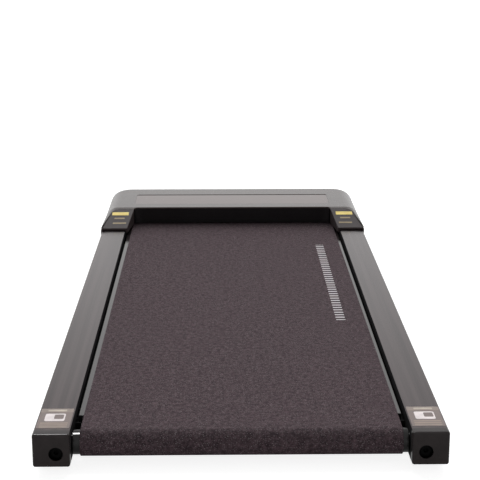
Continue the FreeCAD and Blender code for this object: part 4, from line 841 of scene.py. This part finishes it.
def floor_paper():
    """Pale matt paper that glows to white for the camera, fully so away from the pad."""
    paper_dark, paper_light = (0.44, 0.44, 0.44), (0.45, 0.45, 0.45)
    white_near, white_far = 0.84, 1.0
    white_in_mirrors = 0.45
    near, far = 0.5, 1.6
    finish, tree, shader = new_finish("floor_paper")
    pulp = noise(tree, scale=30, detail=3.0)
    tree.links.new(shaded(tree, pulp, paper_dark, paper_light), shader.inputs["Base Color"])
    shader.inputs["Roughness"].default_value = 0.9
    shader.inputs["Specular IOR Level"].default_value = 0.0
    place = tree.nodes.new("ShaderNodeTexCoord")
    reach = tree.nodes.new("ShaderNodeVectorMath")
    reach.operation = "LENGTH"
    tree.links.new(place.outputs["Object"], reach.inputs[0])
    glow = ranged(tree, reach.outputs["Value"], white_near, white_far, near, far)
    shader.inputs["Emission Color"].default_value = pure_white
    seen = seen_directly(tree, white_in_mirrors)
    tree.links.new(value_of(tree, "MULTIPLY", seen, glow), shader.inputs["Emission Strength"])
    return finish


floor_half = 8.0
sheet = bmesh.new()
bmesh.ops.create_grid(sheet, x_segments=1, y_segments=1, size=floor_half)
floor_mesh = bpy.data.meshes.new("floor")
sheet.to_mesh(floor_mesh)
sheet.free()
floor_mesh.materials.append(floor_paper())
floor = bpy.data.objects.new("floor", floor_mesh)
bpy.context.scene.collection.objects.link(floor)

surround = bpy.data.worlds.new("surround")
surround.use_nodes = True
bpy.context.scene.world = surround
sky = surround.node_tree
background = sky.nodes["Background"]
background.inputs["Color"].default_value = pure_white
scattered_level = 0.30
level = ranged(sky, seen_directly(sky), low=scattered_level, high=1.0, start=0.0, end=1.0)
sky.links.new(level, background.inputs["Strength"])


def lamp(name, way, energy, width):
    """A far lamp that shines from a direction, so many degrees wide."""
    light = bpy.data.lights.new(name, "SUN")
    light.energy = energy
    light.angle = math.radians(width)
    made = bpy.data.objects.new(name, light)
    made.rotation_euler = Vector(way).to_track_quat("Z", "Y").to_euler()
    bpy.context.scene.collection.objects.link(made)
    return made


wall_light = lamp("wall_light", way=(0.0, 0.829, 0.559), energy=3.65, width=60)
wall_light.visible_glossy = False
window_light = lamp("window_light", way=(-0.127, 0.257, 0.958), energy=3.5, width=16)
window_light.visible_diffuse = False
front_light = lamp("front_light", way=(0.0, -0.996, 0.087), energy=0.9, width=30)
front_light.visible_glossy = False

film_width, lens_length = 36.0, 98.213
camera_place = (-0.0250, -2.1029, 0.6793)
camera_tilt_down = 14.714
camera_turn_right = 0.909
camera_data = bpy.data.cameras.new("camera")
camera_data.lens = lens_length
camera_data.sensor_width = film_width
camera = bpy.data.objects.new("camera", camera_data)
camera.location = camera_place
camera.rotation_euler = (math.radians(90 - camera_tilt_down), 0.0, math.radians(-camera_turn_right))
bpy.context.scene.collection.objects.link(camera)
bpy.context.scene.camera = camera
bpy.context.scene.view_settings.view_transform = "Standard"
